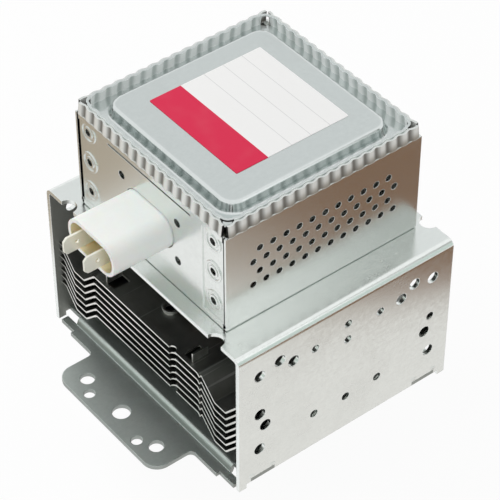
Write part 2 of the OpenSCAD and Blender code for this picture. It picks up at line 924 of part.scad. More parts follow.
module rf_gasket() {
    color("darkgray")
        translate([0, 0, -gasket_proud])
            ring(gasket_d, sleeve_hole, plate_rise + gasket_proud);
}

// Filter box

// All that lies inside a crimped face, drawn on the +X side: a wall that leans in above the rim's foot,
// with upright pillows from the height foot; inset moves the face in by a sheet or two
module crimped(count, length, inset, foot) {
    lean = atan((groove_in - groove_foot) / rim_height);
    rotate([90, 0, 0])
        linear_extrude(length, center = true)
            translate([-inset, 0])
                polygon([
                    [-3 * box_sheet, rim_base - rim_height], [0, rim_base - rim_height], [0, rim_base],
                    [-groove_foot, rim_base], [-groove_in, rim_top], [-groove_in, rim_top + 1],
                    [-3 * box_sheet, rim_top + 1]
                ]);
    intersection() {
        for (i = [0:count - 1])
            translate([pillow_out - groove_in - pillow_r, (i - (count - 1) / 2) * pillow_pitch, rim_top])
                rotate([0, -lean, 0])
                    translate([0, 0, -1.5 * rim_height])
                        cylinder(r = pillow_r - inset, h = 2 * rim_height);
        translate([-3 * pillow_r, -length, foot])
            cube([6 * pillow_r, 2 * length, 2 * rim_height]);
    }
}

// One crimped sheet of a side, from the inset of its outer face to the inset of its inner face
module crimped_sheet(count, length, outer, inner, low, high, foot) {
    intersection() {
        difference() {
            crimped(count, length, outer, foot);
            crimped(count, length + 2, inner, foot);
        }
        translate([-inner - 2 * box_sheet, -length / 2, low])
            cube([inner + 2 * box_sheet + 2, length, high - low]);
    }
}

// The box's crimped sheet; gap is what it stays short of the corners
module rim_side(length, gap) {
    crimped_sheet(round(length / pillow_pitch), length - 2 * gap,
        0, box_sheet, rim_base - over, rim_top - rim_drop, rim_base - 2 * rim_clear);
}

// The four sides in turn: a child drawn on the +X side, moved and turned to each
module each_side(x_only = false) {
    for (s = [0, 180])
        rotate([0, 0, s])
            translate([box_width / 2, 0, 0])
                children(0);
    if (!x_only)
        for (s = [90, 270])
            rotate([0, 0, s])
                translate([box_depth / 2, 0, 0])
                    children(1);
}

module vents() {
    for (row = [0:3]) {
        count = floor((box_depth - 2 * strip_width + 6) / vent_pitch) - (row % 2);
        for (i = [0:count - 1])
            translate([0, (i - (count - 1) / 2) * vent_pitch, yoke_height + vent_base + row * vent_row])
                rotate([0, 90, 0])
                    cylinder(d = vent_d, h = box_width + 2 * over, center = true, $fn = 20);
    }
}

// Places a child on each clinch joint of the front face
module at_clinches() {
    for (s = [-1, 1])
        for (i = [0:2])
            translate([s * clinch_x, box_front + strip_step, yoke_height + clinch_base + i * clinch_pitch])
                rotate([90, 0, 0])
                    children();
}

module clinch_button() {
    translate([0, 0, -strip_step])
        ring(clinch_d, clinch_d - 1.4, 2 * strip_step);
    translate([0, 0, -strip_step])
        cylinder(d = clinch_d * 0.56, h = 2 * strip_step);
}

// Front or back face details, drawn for the front
module face_strips() {
    for (s = [-1, 1])
        translate([s * clinch_x, box_front, yoke_height + (box_height - rim_height) / 2])
            cube([strip_width, 2 * strip_step, box_height - rim_height - 4], center = true);
}

module face_flanges() {
    wall_h = rim_base - yoke_height;
    for (s = [-1, 1])
        translate([s * (clinch_x + 0.5), box_front + 1.5 * box_sheet - 0.05, yoke_height + wall_h / 2])
            cube([strip_width + 1, box_sheet + 0.1, wall_h - 2], center = true);
}

module front_openings() {
    // Seams of the fold beside the side walls, open to the inside, each with a relief hole at its foot
    for (s = [-1, 1])
        translate([s * (box_width / 2 - 1.2 * box_sheet), box_front, yoke_height + box_sheet]) {
            translate([-seam_width / 2, -over, box_sheet])
                cube([seam_width, 2 * box_sheet + 1.2 * over, box_height - rim_height]);
            translate([0, 0, box_sheet])
                rotate([90, 0, 0])
                    cylinder(d = 1.5, h = 2 * box_sheet, center = true, $fn = 24);
        }
    // Slot under the rim, with round ends
    translate([0, box_front + box_sheet + over, rim_base - slot_drop])
        rotate([90, 0, 0])
            linear_extrude(box_sheet + 2 * over)
                rounded_square(slot_length, slot_height, slot_height / 2 - 0.01);
    // Opening of the connector
    translate([0, box_front + box_sheet + over, socket_z])
        rotate([90, 0, 0])
            linear_extrude(box_sheet + 2 * over)
                connector_outline(-connector_clear);
    at_earth_joints()
        translate([0, 0, -5])
            cylinder(d = earth_hole_d, h = 10);
}

// Places a child on each joint of the earth plate, on the wall's outer face
module at_earth_joints() {
    for (sx = [-1, 1])
        for (sz = [-1, 1])
            translate([sx * earth_span_x / 2, box_front, socket_z + sz * earth_span_z / 2])
                rotate([90, 0, 0])
                    children();
}

// Groove round the foot of the box, where the sheet's bend leaves the yoke
module foot_groove() {
    translate([0, 0, yoke_height - over])
        linear_extrude(box_sheet / 2 + over)
            difference() {
                square([box_width + 2, box_depth + 2], center = true);
                square([box_width - box_sheet, box_depth - box_sheet], center = true);
            }
}

module box_shell() {
    inner_w = box_width - 2 * box_sheet;
    inner_d = box_depth - 2 * box_sheet;
    wall_h = rim_base - yoke_height;
    difference() {
        translate([-box_width / 2, -box_depth / 2, yoke_height])
            cube([box_width, box_depth, wall_h]);
        translate([-inner_w / 2, -inner_d / 2, yoke_height + box_sheet])
            cube([inner_w, inner_d, wall_h]);
        face_strips();
        rotate([0, 0, 180])
            face_strips();
        foot_groove();
        vents();
        translate([0, 0, yoke_height - over])
            cylinder(d = sleeve_hole, h = box_sheet + 2 * over);
        at_corners(rivet_place, rivet_place)
            translate([0, 0, yoke_height - over])
                cylinder(d = rivet_d, h = box_sheet + 2 * over);
    }
}

module filter_box() {
    color("lightgray")
        difference() {
            union() {
                box_shell();
                each_side() {
                    rim_side(box_depth, rim_side_gap);
                    rim_side(box_width, rim_gap);
                }
                for (turn = [0, 180])
                    rotate([0, 0, turn]) {
                        face_flanges();
                        at_clinches()
                            clinch_button();
                    }
                // Drawn collars that hold the earth plate
                at_earth_joints()
                    translate([0, 0, -box_sheet - earth_sheet])
                        cylinder(d = earth_hole_d + 1.2, h = box_sheet / 2 + earth_sheet);
            }
            front_openings();
            for (turn = [0, 180])
                rotate([0, 0, turn])
                    at_clinches()
                        translate([0, 0, -2 * box_sheet])
                            cylinder(d = clinch_d * 0.36, h = 2 * box_sheet + over);
        }
}

// Cover: a ledge, an upturned crimped rim and a raised panel, pressed from one sheet

// Section of the pressed step from the ledge up to the panel, out from the panel's edge
module step_section() {
    low = ledge_z - box_sheet / 2;
    high = rim_top - box_sheet / 2;
    path = [[-panel_land, high], [0, high], [panel_run, low], [panel_run + panel_land, low]];
    sheet_section(rounded(path, panel_bend), box_sheet);
}

// The raised panel: a flat top, four straight steps and four quarter-round corners
module raised_panel() {
    half = panel_top / 2;
    in = half - panel_corner;
    land = half - panel_land;
    translate([0, 0, rim_top - box_sheet / 2]) {
        cube([2 * land, 2 * in, box_sheet], center = true);
        cube([2 * in, 2 * land, box_sheet], center = true);
    }
    for (turn = [0:90:270])
        rotate([0, 0, turn]) {
            translate([half, 0, 0])
                rotate([90, 0, 0])
                    linear_extrude(2 * in, center = true)
                        step_section();
            translate([in, in, 0])
                rotate_extrude(angle = 90)
                    translate([panel_corner, 0])
                        step_section();
            translate([in, in, rim_top - box_sheet])
                cylinder(r = panel_corner - panel_land, h = box_sheet);
        }
}

// The ledge round the panel, open in the middle where the panel rises
module ledge() {
    hole = panel_top + 2 * (panel_run + panel_land);
    translate([0, 0, ledge_z - box_sheet])
        linear_extrude(box_sheet)
            difference() {
                rounded_square(2 * ledge_half_x, 2 * ledge_half_y, cover_corner - ledge_in);
                rounded_square(hole, hole, panel_corner + panel_run + panel_land);
            }
}

// The cover's upturned sheet lies inside the box's rim, with a small clearance
module cover_rim(length) {
    crimped_sheet(round(length / pillow_pitch) - 2, length - 2 * cover_corner + rim_clear * 4,
        box_sheet + rim_clear, 2 * box_sheet + rim_clear,
        ledge_z - box_sheet, rim_top, rim_base + rim_clear);
}

// Section of the cover's rim at a corner, where it has no pillows and is drawn in a little
module corner_section() {
    low = ledge_z - box_sheet;
    outer = cover_corner - box_sheet - rim_clear * 3.5;
    lean = groove_foot + (groove_in - groove_foot) * max(0, low - rim_base) / rim_height;
    polygon([
        [outer - lean, low], [outer - groove_in, rim_top], [outer - groove_in - box_sheet, rim_top],
        [outer - lean - box_sheet, low]
    ]);
}

module cover_corners() {
    for (sx = [0, 1], sy = [0, 1])
        mirror([sx, 0, 0])
            mirror([0, sy, 0])
                translate([box_width / 2 - cover_corner, box_depth / 2 - cover_corner, 0])
                    rotate_extrude(angle = 90)
                        corner_section();
}

module filter_cover() {
    color("lightgray")
        difference() {
            union() {
                ledge();
                raised_panel();
                each_side() {
                    cover_rim(box_depth);
                    cover_rim(box_width);
                }
                cover_corners();
            }
            at_corners(box_width / 2, box_depth / 2)
                translate([0, 0, ledge_z - 2 * box_sheet])
                    cylinder(r = cover_relief, h = ledge_depth + 2 * box_sheet - relief_strip);
        }
}

module box_rivets() {
    color("darkgray")
        at_corners(rivet_place, rivet_place) {
            translate([0, 0, yoke_under])
                cylinder(d = rivet_d, h = yoke_sheet + box_sheet);
            translate([0, 0, yoke_height + box_sheet])
                cylinder(d1 = rivet_d + 2.4, d2 = rivet_d + 1, h = 0.9);
            translate([0, 0, yoke_under - 0.9])
                cylinder(d1 = rivet_d + 1, d2 = rivet_d + 2.4, h = 0.9);
        }
}

module label_sheet() {
    color("crimson")
        translate([label_x - label_size / 2, label_y - label_size / 2, rim_top])
            cube([label_size, label_size, label_sheet_t]);
}

// Connector

module connector_outline(inset) {
    rounded_square(connector_width - 2 * inset, connector_height - 2 * inset, connector_corner - inset);
}

module connector_housing() {
    length = connector_reach + box_sheet;
    color("white")
        difference() {
            translate([0, wall_inside_y, socket_z])
                rotate([90, 0, 0])
                    linear_extrude(length)
                        connector_outline(0);
            translate([0, wall_inside_y - connector_back, socket_z])
                rotate([90, 0, 0])
                    linear_extrude(length)
                        connector_outline(connector_wall);
            for (s = [-1, 1])
                blade_passage(s, 0);
        }
}

// Space of a blade, widened by clear on each side
module blade_passage(s, clear) {
    translate([s * blade_span / 2, 0, socket_z])
        cube([blade_sheet + 2 * clear, 2 * box_depth, blade_height + 2 * clear], center = true);
}

module earth_plate() {
    color("silver")
        difference() {
            translate([0, capacitor_y, socket_z])
                rotate([90, 0, 0])
                    linear_extrude(earth_sheet)
                        rounded_square(
                            earth_span_x + 2 * earth_margin,
                            earth_span_z + 2 * earth_margin,
                            earth_margin
                        );
            for (s = [-1, 1])
                blade_passage(s, 1);
            at_earth_joints()
                translate([0, 0, -5])
                    cylinder(d = earth_hole_d + 1.2, h = 10);
        }
}

module feedthrough_capacitor() {
    color("ivory")
        difference() {
            translate([0, tail_y, socket_z])
                rotate([90, 0, 0])
                    linear_extrude(capacitor_depth)
                        rounded_square(capacitor_width, capacitor_height, capacitor_height / 2 - 0.5);
            for (s = [-1, 1])
                blade_passage(s, 0);
        }
}

module blade_terminal(s) {
    tip = mouth_y - blade_past;
    back = tail_y + blade_tail;
    top = blade_height / 2;
    color("khaki")
        difference() {
            translate([s * blade_span / 2, 0, socket_z])
                rotate([90, 0, 90])
                    linear_extrude(blade_sheet, center = true)
                        polygon([
                            [tip, top - blade_chamfer],
                            [tip, blade_chamfer - top],
                            [tip + blade_chamfer, -top],
                            [back, -top],
                            [back, top],
                            [tip + blade_chamfer, top]
                        ]);
            translate([s * blade_span / 2, tip + blade_hole_in, socket_z])
                rotate([0, 90, 0])
                    cylinder(d = blade_hole_d, h = 4, center = true);
        }
}

// Chokes

choke_axis = blade_span / 2 + blade_sheet / 2 + choke_wire / 2 + seat_gap + choke_d / 2;
choke_y = tail_y + blade_tail + choke_wire;
choke_length = choke_turns * choke_pitch;

// From the blade's tail, round the core and down onto the stem's terminal
module choke_coil(s) {
    start_x = choke_axis - choke_d / 2;
    steps = choke_turns * 16;
    end_y = choke_y + choke_length + choke_wire;
    path = concat(
        [[start_x, tail_y + 1, 0], [start_x, choke_y - 0.6, 0]],
        [
            for (i = [0:steps])
                let (turn = i * 22.5, r = choke_d / 2)
                    [choke_axis - r * cos(turn), choke_y + choke_length * i / steps, r * sin(turn)]
        ],
        [
            [start_x, end_y - 0.6, 0],
            [start_x, end_y, -choke_wire],
            [start_x, end_y, terminal_top - socket_z]
        ]
    );
    color("orangered")
        translate([0, 0, socket_z])
            mirror([s < 0 ? 1 : 0, 0, 0])
                wire(path, choke_wire, [1, 0, 0]);
}

module ferrite_core(s) {
    color("dimgray")
        translate([s * choke_axis, choke_y + choke_length + choke_wire, socket_z])
            rotate([90, 0, 0])
                cylinder(d = choke_d - choke_wire - 2 * running_gap, h = choke_length + choke_wire);
}

yoke_frame();
mounting_plate();
upper_magnet();
lower_magnet();
cooling_fin(1);  // cooling_fin_1
cooling_fin(2);  // cooling_fin_2
cooling_fin(3);  // cooling_fin_3
cooling_fin(4);  // cooling_fin_4
cooling_fin(5);  // cooling_fin_5
cooling_fin(6);  // cooling_fin_6
top_fin();  // cooling_fin_7
anode_cylinder();
anode_vanes();
strap_ring(0);  // inner_strap_ring
strap_ring(1);  // outer_strap_ring
upper_pole_piece();
lower_pole_piece();
cathode_filament();
upper_end_hat();
lower_end_hat();
centre_lead();
side_lead();
stem_sleeve();
stem_ceramic();
centre_terminal();
side_terminal();
antenna_sleeve();
antenna_ceramic();
antenna_rod();
exhaust_tube();
antenna_cap();
rf_gasket();
filter_box();
filter_cover();
box_rivets();
label_sheet();
connector_housing();
earth_plate();
feedthrough_capacitor();
blade_terminal(-1);  // blade_terminal_1
blade_terminal(1);  // blade_terminal_2
choke_coil(-1);  // choke_coil_1
choke_coil(1);  // choke_coil_2
ferrite_core(-1);  // ferrite_core_1
ferrite_core(1);  // ferrite_core_2
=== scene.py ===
"""Looks of a microwave magnetron: its finishes, label, gasket and marks, with the studio and the camera."""

import logging
import math
from dataclasses import dataclass, field
from enum import Enum
from typing import Any, ClassVar, Sequence

import bpy
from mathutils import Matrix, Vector

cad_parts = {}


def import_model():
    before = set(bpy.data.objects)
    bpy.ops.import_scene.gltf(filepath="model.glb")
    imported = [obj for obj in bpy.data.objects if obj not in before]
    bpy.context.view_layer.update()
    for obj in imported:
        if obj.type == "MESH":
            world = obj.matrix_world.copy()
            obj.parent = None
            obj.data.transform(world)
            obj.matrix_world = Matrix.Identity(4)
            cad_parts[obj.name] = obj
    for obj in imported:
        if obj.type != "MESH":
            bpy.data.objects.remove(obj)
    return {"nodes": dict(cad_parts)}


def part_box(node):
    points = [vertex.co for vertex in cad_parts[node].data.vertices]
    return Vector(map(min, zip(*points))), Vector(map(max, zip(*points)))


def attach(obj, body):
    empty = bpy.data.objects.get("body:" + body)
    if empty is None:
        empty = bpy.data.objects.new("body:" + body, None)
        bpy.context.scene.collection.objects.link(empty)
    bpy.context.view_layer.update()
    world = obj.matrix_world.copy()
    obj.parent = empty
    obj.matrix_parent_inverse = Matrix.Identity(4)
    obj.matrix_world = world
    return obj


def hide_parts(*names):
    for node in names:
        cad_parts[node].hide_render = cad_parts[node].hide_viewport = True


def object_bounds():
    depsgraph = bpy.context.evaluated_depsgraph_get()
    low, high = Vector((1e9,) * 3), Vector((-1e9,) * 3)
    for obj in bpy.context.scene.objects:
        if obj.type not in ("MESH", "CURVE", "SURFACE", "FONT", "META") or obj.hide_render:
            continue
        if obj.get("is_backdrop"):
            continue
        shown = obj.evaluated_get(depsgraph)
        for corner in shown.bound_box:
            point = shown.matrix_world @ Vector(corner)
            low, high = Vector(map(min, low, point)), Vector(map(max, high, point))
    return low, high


LOG = logging.getLogger("magnetron")
MM = 0.001

FLOOR_GAP = 0.1 * MM
FLOAT, VECTOR = "NodeSocketFloat", "NodeSocketVector"

Colour = tuple[float, float, float]
Point = tuple[float, float, float]
Span = tuple[float, float]
Socket = bpy.types.NodeSocket
Tree = bpy.types.NodeTree
Piece = bpy.types.Object
Material = bpy.types.Material


class Rolling(Enum):
    """Direction in which a sheet was rolled, as the stretch of its grain."""

    ALONG_X = (25.0, 420.0, 420.0)
    ALONG_Y = (420.0, 25.0, 420.0)
    ALONG_Z = (420.0, 420.0, 25.0)


class Slot(Enum):
    """Material slots of the record that the new pieces take their finish from."""

    LABEL = "label_paper"
    GASKET = "gasket_mesh"
    YOKE = "zinc_steel"


class Wiring:
    """Adds and links the nodes of one shader tree; the two mixes are the sockets of Blender's Mix node."""

    COLOUR_MIX: ClassVar[tuple[int, ...]] = (0, 6, 7)
    NUMBER_MIX: ClassVar[tuple[int, ...]] = (0, 2, 3)

    def __init__(self, tree: Tree) -> None:
        """Keeps the tree of a material, a world or a group."""
        self.tree = tree

    def node(self, kind: str, **settings: Any) -> bpy.types.Node:
        """Adds one node.

        Args:
            kind: Blender's name of the node type.
            **settings: Attributes to set on the node.

        Returns:
            The new node.
        """
        made = self.tree.nodes.new(kind)
        for name, value in settings.items():
            setattr(made, name, value)
        return made

    def feed(self, target: Socket, value: Any) -> None:
        """Sets an input to a constant, or links it to an output.

        Args:
            target: Input socket.
            value: Number, colour, vector or output socket.
        """
        if isinstance(value, Socket):
            self.tree.links.new(value, target)
        elif isinstance(value, (tuple, list)) and target.type == "RGBA":
            target.default_value = (*value[:3], 1.0)
        else:
            target.default_value = value

    def fill(self, made: bpy.types.Node, *values: Any, **named: Any) -> bpy.types.Node:
        """Feeds the inputs of a node, in order or by name.

        Args:
            made: The node.
            *values: Its first inputs.
            **named: Inputs by name.

        Returns:
            The same node.
        """
        for target, value in zip(made.inputs, values):
            self.feed(target, value)
        for name, value in named.items():
            self.feed(made.inputs[name], value)
        return made

    def maths(self, operation: str, *values: Any, clamp: bool = False) -> Socket:
        """Adds a Math node, clamped to 0 and 1 if asked, and gives its result."""
        made = self.node("ShaderNodeMath", operation=operation, use_clamp=clamp)
        return self.fill(made, *values).outputs[0]

    def product(self, first: Any, *others: Any) -> Socket:
        """Multiplies values in order.

        Args:
            first: The first value.
            *others: The others.

        Returns:
            The product.
        """
        for value in others:
            first = self.maths("MULTIPLY", first, value)
        return first

    def vectors(self, operation: str, *values: Any) -> bpy.types.NodeOutputs:
        """Adds a Vector Math node and gives its outputs: a vector, or a number by the name of Value."""
        return self.fill(self.node("ShaderNodeVectorMath", operation=operation), *values).outputs

    def axes(self, vector: Socket) -> bpy.types.NodeOutputs:
        """Splits a vector into its three parts."""
        return self.fill(self.node("ShaderNodeSeparateXYZ"), vector).outputs

    def normal(self) -> Socket:
        """Gives the direction in which the face looks."""
        return self.node("ShaderNodeNewGeometry").outputs["True Normal"]

    def blend(self, factor: Socket, first: Socket, second: Socket) -> Socket:
        """Mixes two shaders."""
        return self.fill(self.node("ShaderNodeMixShader"), factor, first, second).outputs[0]

    def mix(self, factor: Any, first: Any, second: Any) -> Socket:
        """Mixes two colours.

        Args:
            factor: Share of the second one.
            first: Colour or socket at factor 0.
            second: Colour or socket at factor 1.

        Returns:
            The mixed colour.
        """
        made = self.node("ShaderNodeMix", data_type="RGBA")
        for index, value in zip(self.COLOUR_MIX, (factor, first, second)):
            self.feed(made.inputs[index], value)
        return made.outputs[2]

    def spread(
        self, value: Any, low: float, high: float, to_low: float = 0.0, to_high: float = 1.0,
    ) -> Socket:
        """Maps the range from low to high smoothly onto that from to_low to to_high, and clamps it."""
        made = self.node("ShaderNodeMapRange", interpolation_type="SMOOTHSTEP")
        return self.fill(made, value, low, high, to_low, to_high).outputs[0]

    def noise(self, vector: Any, scale: Any, **settings: float) -> Socket:
        """Adds a noise texture of so many waves per metre and gives its value, around one half."""
        made = self.node("ShaderNodeTexNoise")
        return self.fill(made, Vector=vector, Scale=scale, **settings).outputs["Fac"]

    def place(self, group: Tree, **inputs: Any) -> bpy.types.NodeOutputs:
        """Places a shader node group and gives its outputs."""
        return self.fill(self.node("ShaderNodeGroup", node_tree=group), **inputs).outputs


class Effect:
    """A shader node group that several finishes share."""

    def __init__(self, name: str, inputs: dict[str, str], outputs: dict[str, str]) -> None:
        """Makes the empty group with its sockets.

        Args:
            name: Name of the group.
            inputs: Socket type of each input.
            outputs: Socket type of each output.
        """
        self.tree = bpy.data.node_groups.new(name, "ShaderNodeTree")
        for key, kind in inputs.items():
            self.tree.interface.new_socket(key, in_out="INPUT", socket_type=kind)
        for key, kind in outputs.items():
            self.tree.interface.new_socket(key, in_out="OUTPUT", socket_type=kind)
        self.wiring = Wiring(self.tree)
        self.start = self.wiring.node("NodeGroupInput").outputs
        self.end = self.wiring.node("NodeGroupOutput").inputs


class Effects:
    """The shared effects, each built once."""

    CRYSTAL_WAVE: ClassVar[Point] = (1.2 * MM, 1.2 * MM, 1.2 * MM)
    CRYSTAL_SHARE: ClassVar[float] = 0.55
    ROLLING_SCALE: ClassVar[float] = 4.0
    SMUDGE: ClassVar[Span] = (0.48, 0.72)
    SCRATCH: ClassVar[Span] = (0.70, 0.76)
    SCRATCH_TURNS: ClassVar[tuple[Span, ...]] = ((0.5, 3.0), (-0.9, 8.0))
    SCRATCH_TILT: ClassVar[float] = 0.7
    SCRATCH_STRETCH: ClassVar[Point] = (1400.0, 30.0, 60.0)
    EDGE_SPAN: ClassVar[Span] = (0.99, 0.80)
    EDGE_SAMPLES: ClassVar[int] = 6

    def __init__(self) -> None:
        """Builds every group."""
        self.spangle = self._spangle()
        self.grain = self._grain()
        self.speckle = self._speckle()
        self.marks = self._marks()
        self.edges = self._edges()

    def _spangle(self) -> Tree:
        """Crystals of a zinc coat: cells of different tone with wavy borders.

        Returns:
            The group.
        """
        made = Effect("zinc_spangle", {"Vector": VECTOR, "Scale": FLOAT}, {"Tone": FLOAT})
        w, vector, scale = made.wiring, made.start["Vector"], made.start["Scale"]
        warp = w.fill(w.node("ShaderNodeTexNoise"), Vector=vector, Scale=scale)
        moved = w.vectors("MULTIPLY_ADD", warp.outputs["Color"], self.CRYSTAL_WAVE, vector)[0]
        cells = w.fill(w.node("ShaderNodeTexVoronoi"), Vector=moved, Scale=scale)
        crystal = w.fill(w.node("ShaderNodeSeparateColor"), cells.outputs["Color"]).outputs[0]
        soft = w.noise(moved, scale, Detail=4.0, Roughness=0.6)
        mottle = w.maths("MULTIPLY", soft, 1.0 - self.CRYSTAL_SHARE)
        w.feed(made.end["Tone"], w.maths("MULTIPLY_ADD", crystal, self.CRYSTAL_SHARE, mottle))
        return made.tree

    def _grain(self) -> Tree:
        """Fine lines left by rolling or drawing.

        Returns:
            The group.
        """
        made = Effect("rolled_grain", {"Vector": VECTOR, "Stretch": VECTOR}, {"Tone": FLOAT})
        w = made.wiring
        drawn = w.vectors("MULTIPLY", made.start["Vector"], made.start["Stretch"])[0]
        w.feed(made.end["Tone"], w.noise(drawn, self.ROLLING_SCALE, Detail=4.0, Roughness=0.65))
        return made.tree

    def _speckle(self) -> Tree:
        """Grains of sintered, moulded or cast matter.

        Returns:
            The group.
        """
        made = Effect("fine_speckle", {"Vector": VECTOR, "Scale": FLOAT}, {"Tone": FLOAT})
        w = made.wiring
        grains = w.noise(made.start["Vector"], made.start["Scale"], Detail=3.0, Roughness=0.7)
        w.feed(made.end["Tone"], grains)
        return made.tree

    def _marks(self) -> Tree:
        """Smudges and hair scratches of handling.

        Returns:
            The group.
        """
        sockets = {"Vector": VECTOR, "Scale": FLOAT}
        made = Effect("handling_marks", sockets, {"Smudge": FLOAT, "Scratch": FLOAT})
        w, vector = made.wiring, made.start["Vector"]
        wide = w.noise(vector, made.start["Scale"], Detail=3.0, Roughness=0.6)
        w.feed(made.end["Smudge"], w.spread(wide, *self.SMUDGE))
        lines: list[Socket] = []
        for turn, seed in self.SCRATCH_TURNS:
            turned = w.fill(
                w.node("ShaderNodeMapping"), Vector=vector, Location=(seed, seed, seed),
                Rotation=(turn, turn * self.SCRATCH_TILT, turn), Scale=self.SCRATCH_STRETCH)
            hairs = w.noise(turned.outputs[0], 1.0, Detail=1.0, Roughness=0.4)
            lines.append(w.spread(hairs, *self.SCRATCH))
        w.feed(made.end["Scratch"], w.maths("MAXIMUM", *lines))
        return made.tree

    def _edges(self) -> Tree:
        """Rounded edges, and a mask of them for edge wear with a painted highlight.

        Returns:
            The group.
        """
        made = Effect("rounded_edges", {"Radius": FLOAT}, {"Edge": FLOAT, "Normal": VECTOR})
        w = made.wiring
        round_off = w.node("ShaderNodeBevel", samples=self.EDGE_SAMPLES)
        softened = w.fill(round_off, Radius=made.start["Radius"]).outputs[0]
        flat = w.node("ShaderNodeNewGeometry").outputs["Normal"]
        level = w.vectors("DOT_PRODUCT", softened, flat)["Value"]
        w.feed(made.end["Edge"], w.spread(level, *self.EDGE_SPAN))
        w.feed(made.end["Normal"], softened)
        return made.tree


@dataclass(frozen=True)
class Finish:
    """One procedural finish; the shares say how much of its tone each effect moves.

    Sizes of patterns and radii are in millimetres.
    """

    MARKS_SCALE: ClassVar[float] = 38.0
    SMUDGE_DULL: ClassVar[float] = 0.5
    SCRATCH_LIGHT: ClassVar[float] = 1.25
    EDGE_WEAR_HIGHLIGHT: ClassVar[float] = 1.2
    GLOW_DEPTH: ClassVar[float] = 4.0 * MM
    RELIEF: ClassVar[float] = 0.4 * MM

    name: str
    dark: Colour
    light: Colour
    metallic: float = 0.0
    roughness: float = 0.45
    rough_spread: float = 0.10
    spangle: float = 0.0
    spangle_size: float = 2.2
    grain: float = 0.0
    rolling: Rolling = Rolling.ALONG_Y
    speckle: float = 0.0
    speckle_size: float = 0.5
    smudge: float = 0.0
    smudge_colour: Colour = (0.30, 0.29, 0.26)
    scratch: float = 0.0
    edge: float = 0.0
    edge_radius: float = 0.30
    bump: float = 0.05
    coat: float = 0.0
    glow: float = 0.0
    specular: float = 0.5
    worked_dull: float = 0.30
    worked_oxide: float = 0.50

    def make(self, effects: Effects) -> Material:
        """Builds the material.

        Args:
            effects: The shared node groups.

        Returns:
            The material.
        """
        material = bpy.data.materials.new(self.name)
        material.use_nodes = True
        material.diffuse_color = (*self.light, 1.0)
        w = Wiring(material.node_tree)
        shader = w.tree.nodes["Principled BSDF"]
        where = w.node("ShaderNodeTexCoord").outputs["Object"]
        tone = self._tone(w, effects, where)
        colour = self._colour(w, where, w.mix(tone, self.dark, self.light))
        dullest = self.roughness + self.rough_spread
        rough = w.maths("MULTIPLY_ADD", tone, -2.0 * self.rough_spread, dullest)
        marks = w.place(effects.marks, Vector=where, Scale=self.MARKS_SCALE)
        colour = w.mix(w.maths("MULTIPLY", marks["Smudge"], self.smudge), colour, self.smudge_colour)
        rough = w.maths("MULTIPLY_ADD", marks["Smudge"], self.SMUDGE_DULL * self.smudge, rough)
        scored = w.maths("MULTIPLY", marks["Scratch"], self.scratch)
        colour = w.mix(scored, colour, self._bright(self.SCRATCH_LIGHT))
        edge_rounding = w.place(effects.edges, Radius=self.edge_radius * MM)
        # edges lighten: partly worn metal, partly a painted highlight
        edge_wear_and_highlight = w.maths("MULTIPLY", edge_rounding["Edge"], self.edge)
        colour = w.mix(edge_wear_and_highlight, colour, self._bright(self.EDGE_WEAR_HIGHLIGHT))
        w.feed(shader.inputs["Base Color"], self._shaded(w, where, colour))
        worked = self._worked(w, where)
        if worked is None:
            shader.inputs["Metallic"].default_value = self.metallic
        else:
            rough = w.maths("MULTIPLY_ADD", worked, self.worked_dull, rough)
            metal = w.maths("MULTIPLY_ADD", worked, -self.worked_oxide, self.metallic)
            w.feed(shader.inputs["Metallic"], metal)
        w.feed(shader.inputs["Roughness"], w.maths("ADD", rough, 0.0, clamp=True))
        shader.inputs["Coat Weight"].default_value = self.coat
        shader.inputs["Specular IOR Level"].default_value = self.specular
        shader.inputs["Subsurface Weight"].default_value = self.glow
        shader.inputs["Subsurface Scale"].default_value = self.GLOW_DEPTH
        relief = w.maths("SUBTRACT", tone, scored)
        bump = w.fill(
            w.node("ShaderNodeBump"), Strength=self.bump, Distance=self.RELIEF, Height=relief,
            Normal=edge_rounding["Normal"])
        w.feed(shader.inputs["Normal"], bump.outputs[0])
        return material

    def _bright(self, factor: float) -> Colour:
        """Gives the light tone, made brighter for scratches and for edge wear with its painted highlight."""
        return tuple(min(1.0, factor * c) for c in self.light)

    def _tone(self, w: Wiring, effects: Effects, where: Socket) -> Socket:
        """Adds up the effects' shares around one half.

        Args:
            w: Wiring of the material.
            effects: The shared node groups.
            where: Object coordinates.

        Returns:
            The tone, from dark at 0 to light at 1.
        """
        parts = (
            (self.spangle, effects.spangle, {"Scale": 1.0 / (self.spangle_size * MM)}),
            (self.grain, effects.grain, {"Stretch": self.rolling.value}),
            (self.speckle, effects.speckle, {"Scale": 1.0 / (self.speckle_size * MM)}),
        )
        total: Any = 0.5
        for share, group, inputs in parts:
            if share:
                moved = w.place(group, Vector=where, **inputs)["Tone"]
                total = w.maths("MULTIPLY_ADD", w.maths("SUBTRACT", moved, 0.5), 2.0 * share, total)
        return w.maths("ADD", total, 0.0, clamp=True)

    def _colour(self, w: Wiring, where: Socket, ground: Socket) -> Socket:
        """Colour before wear; a plain finish keeps its ground."""
        return ground

    def _shaded(self, w: Wiring, where: Socket, colour: Socket) -> Socket:
        """Colour with painted shade added; a plain finish keeps what it has."""
        return colour

    def _worked(self, w: Wiring, where: Socket) -> Socket | None:
        """Mask of the places that press or tool have dulled; a plain finish has none."""
        return None


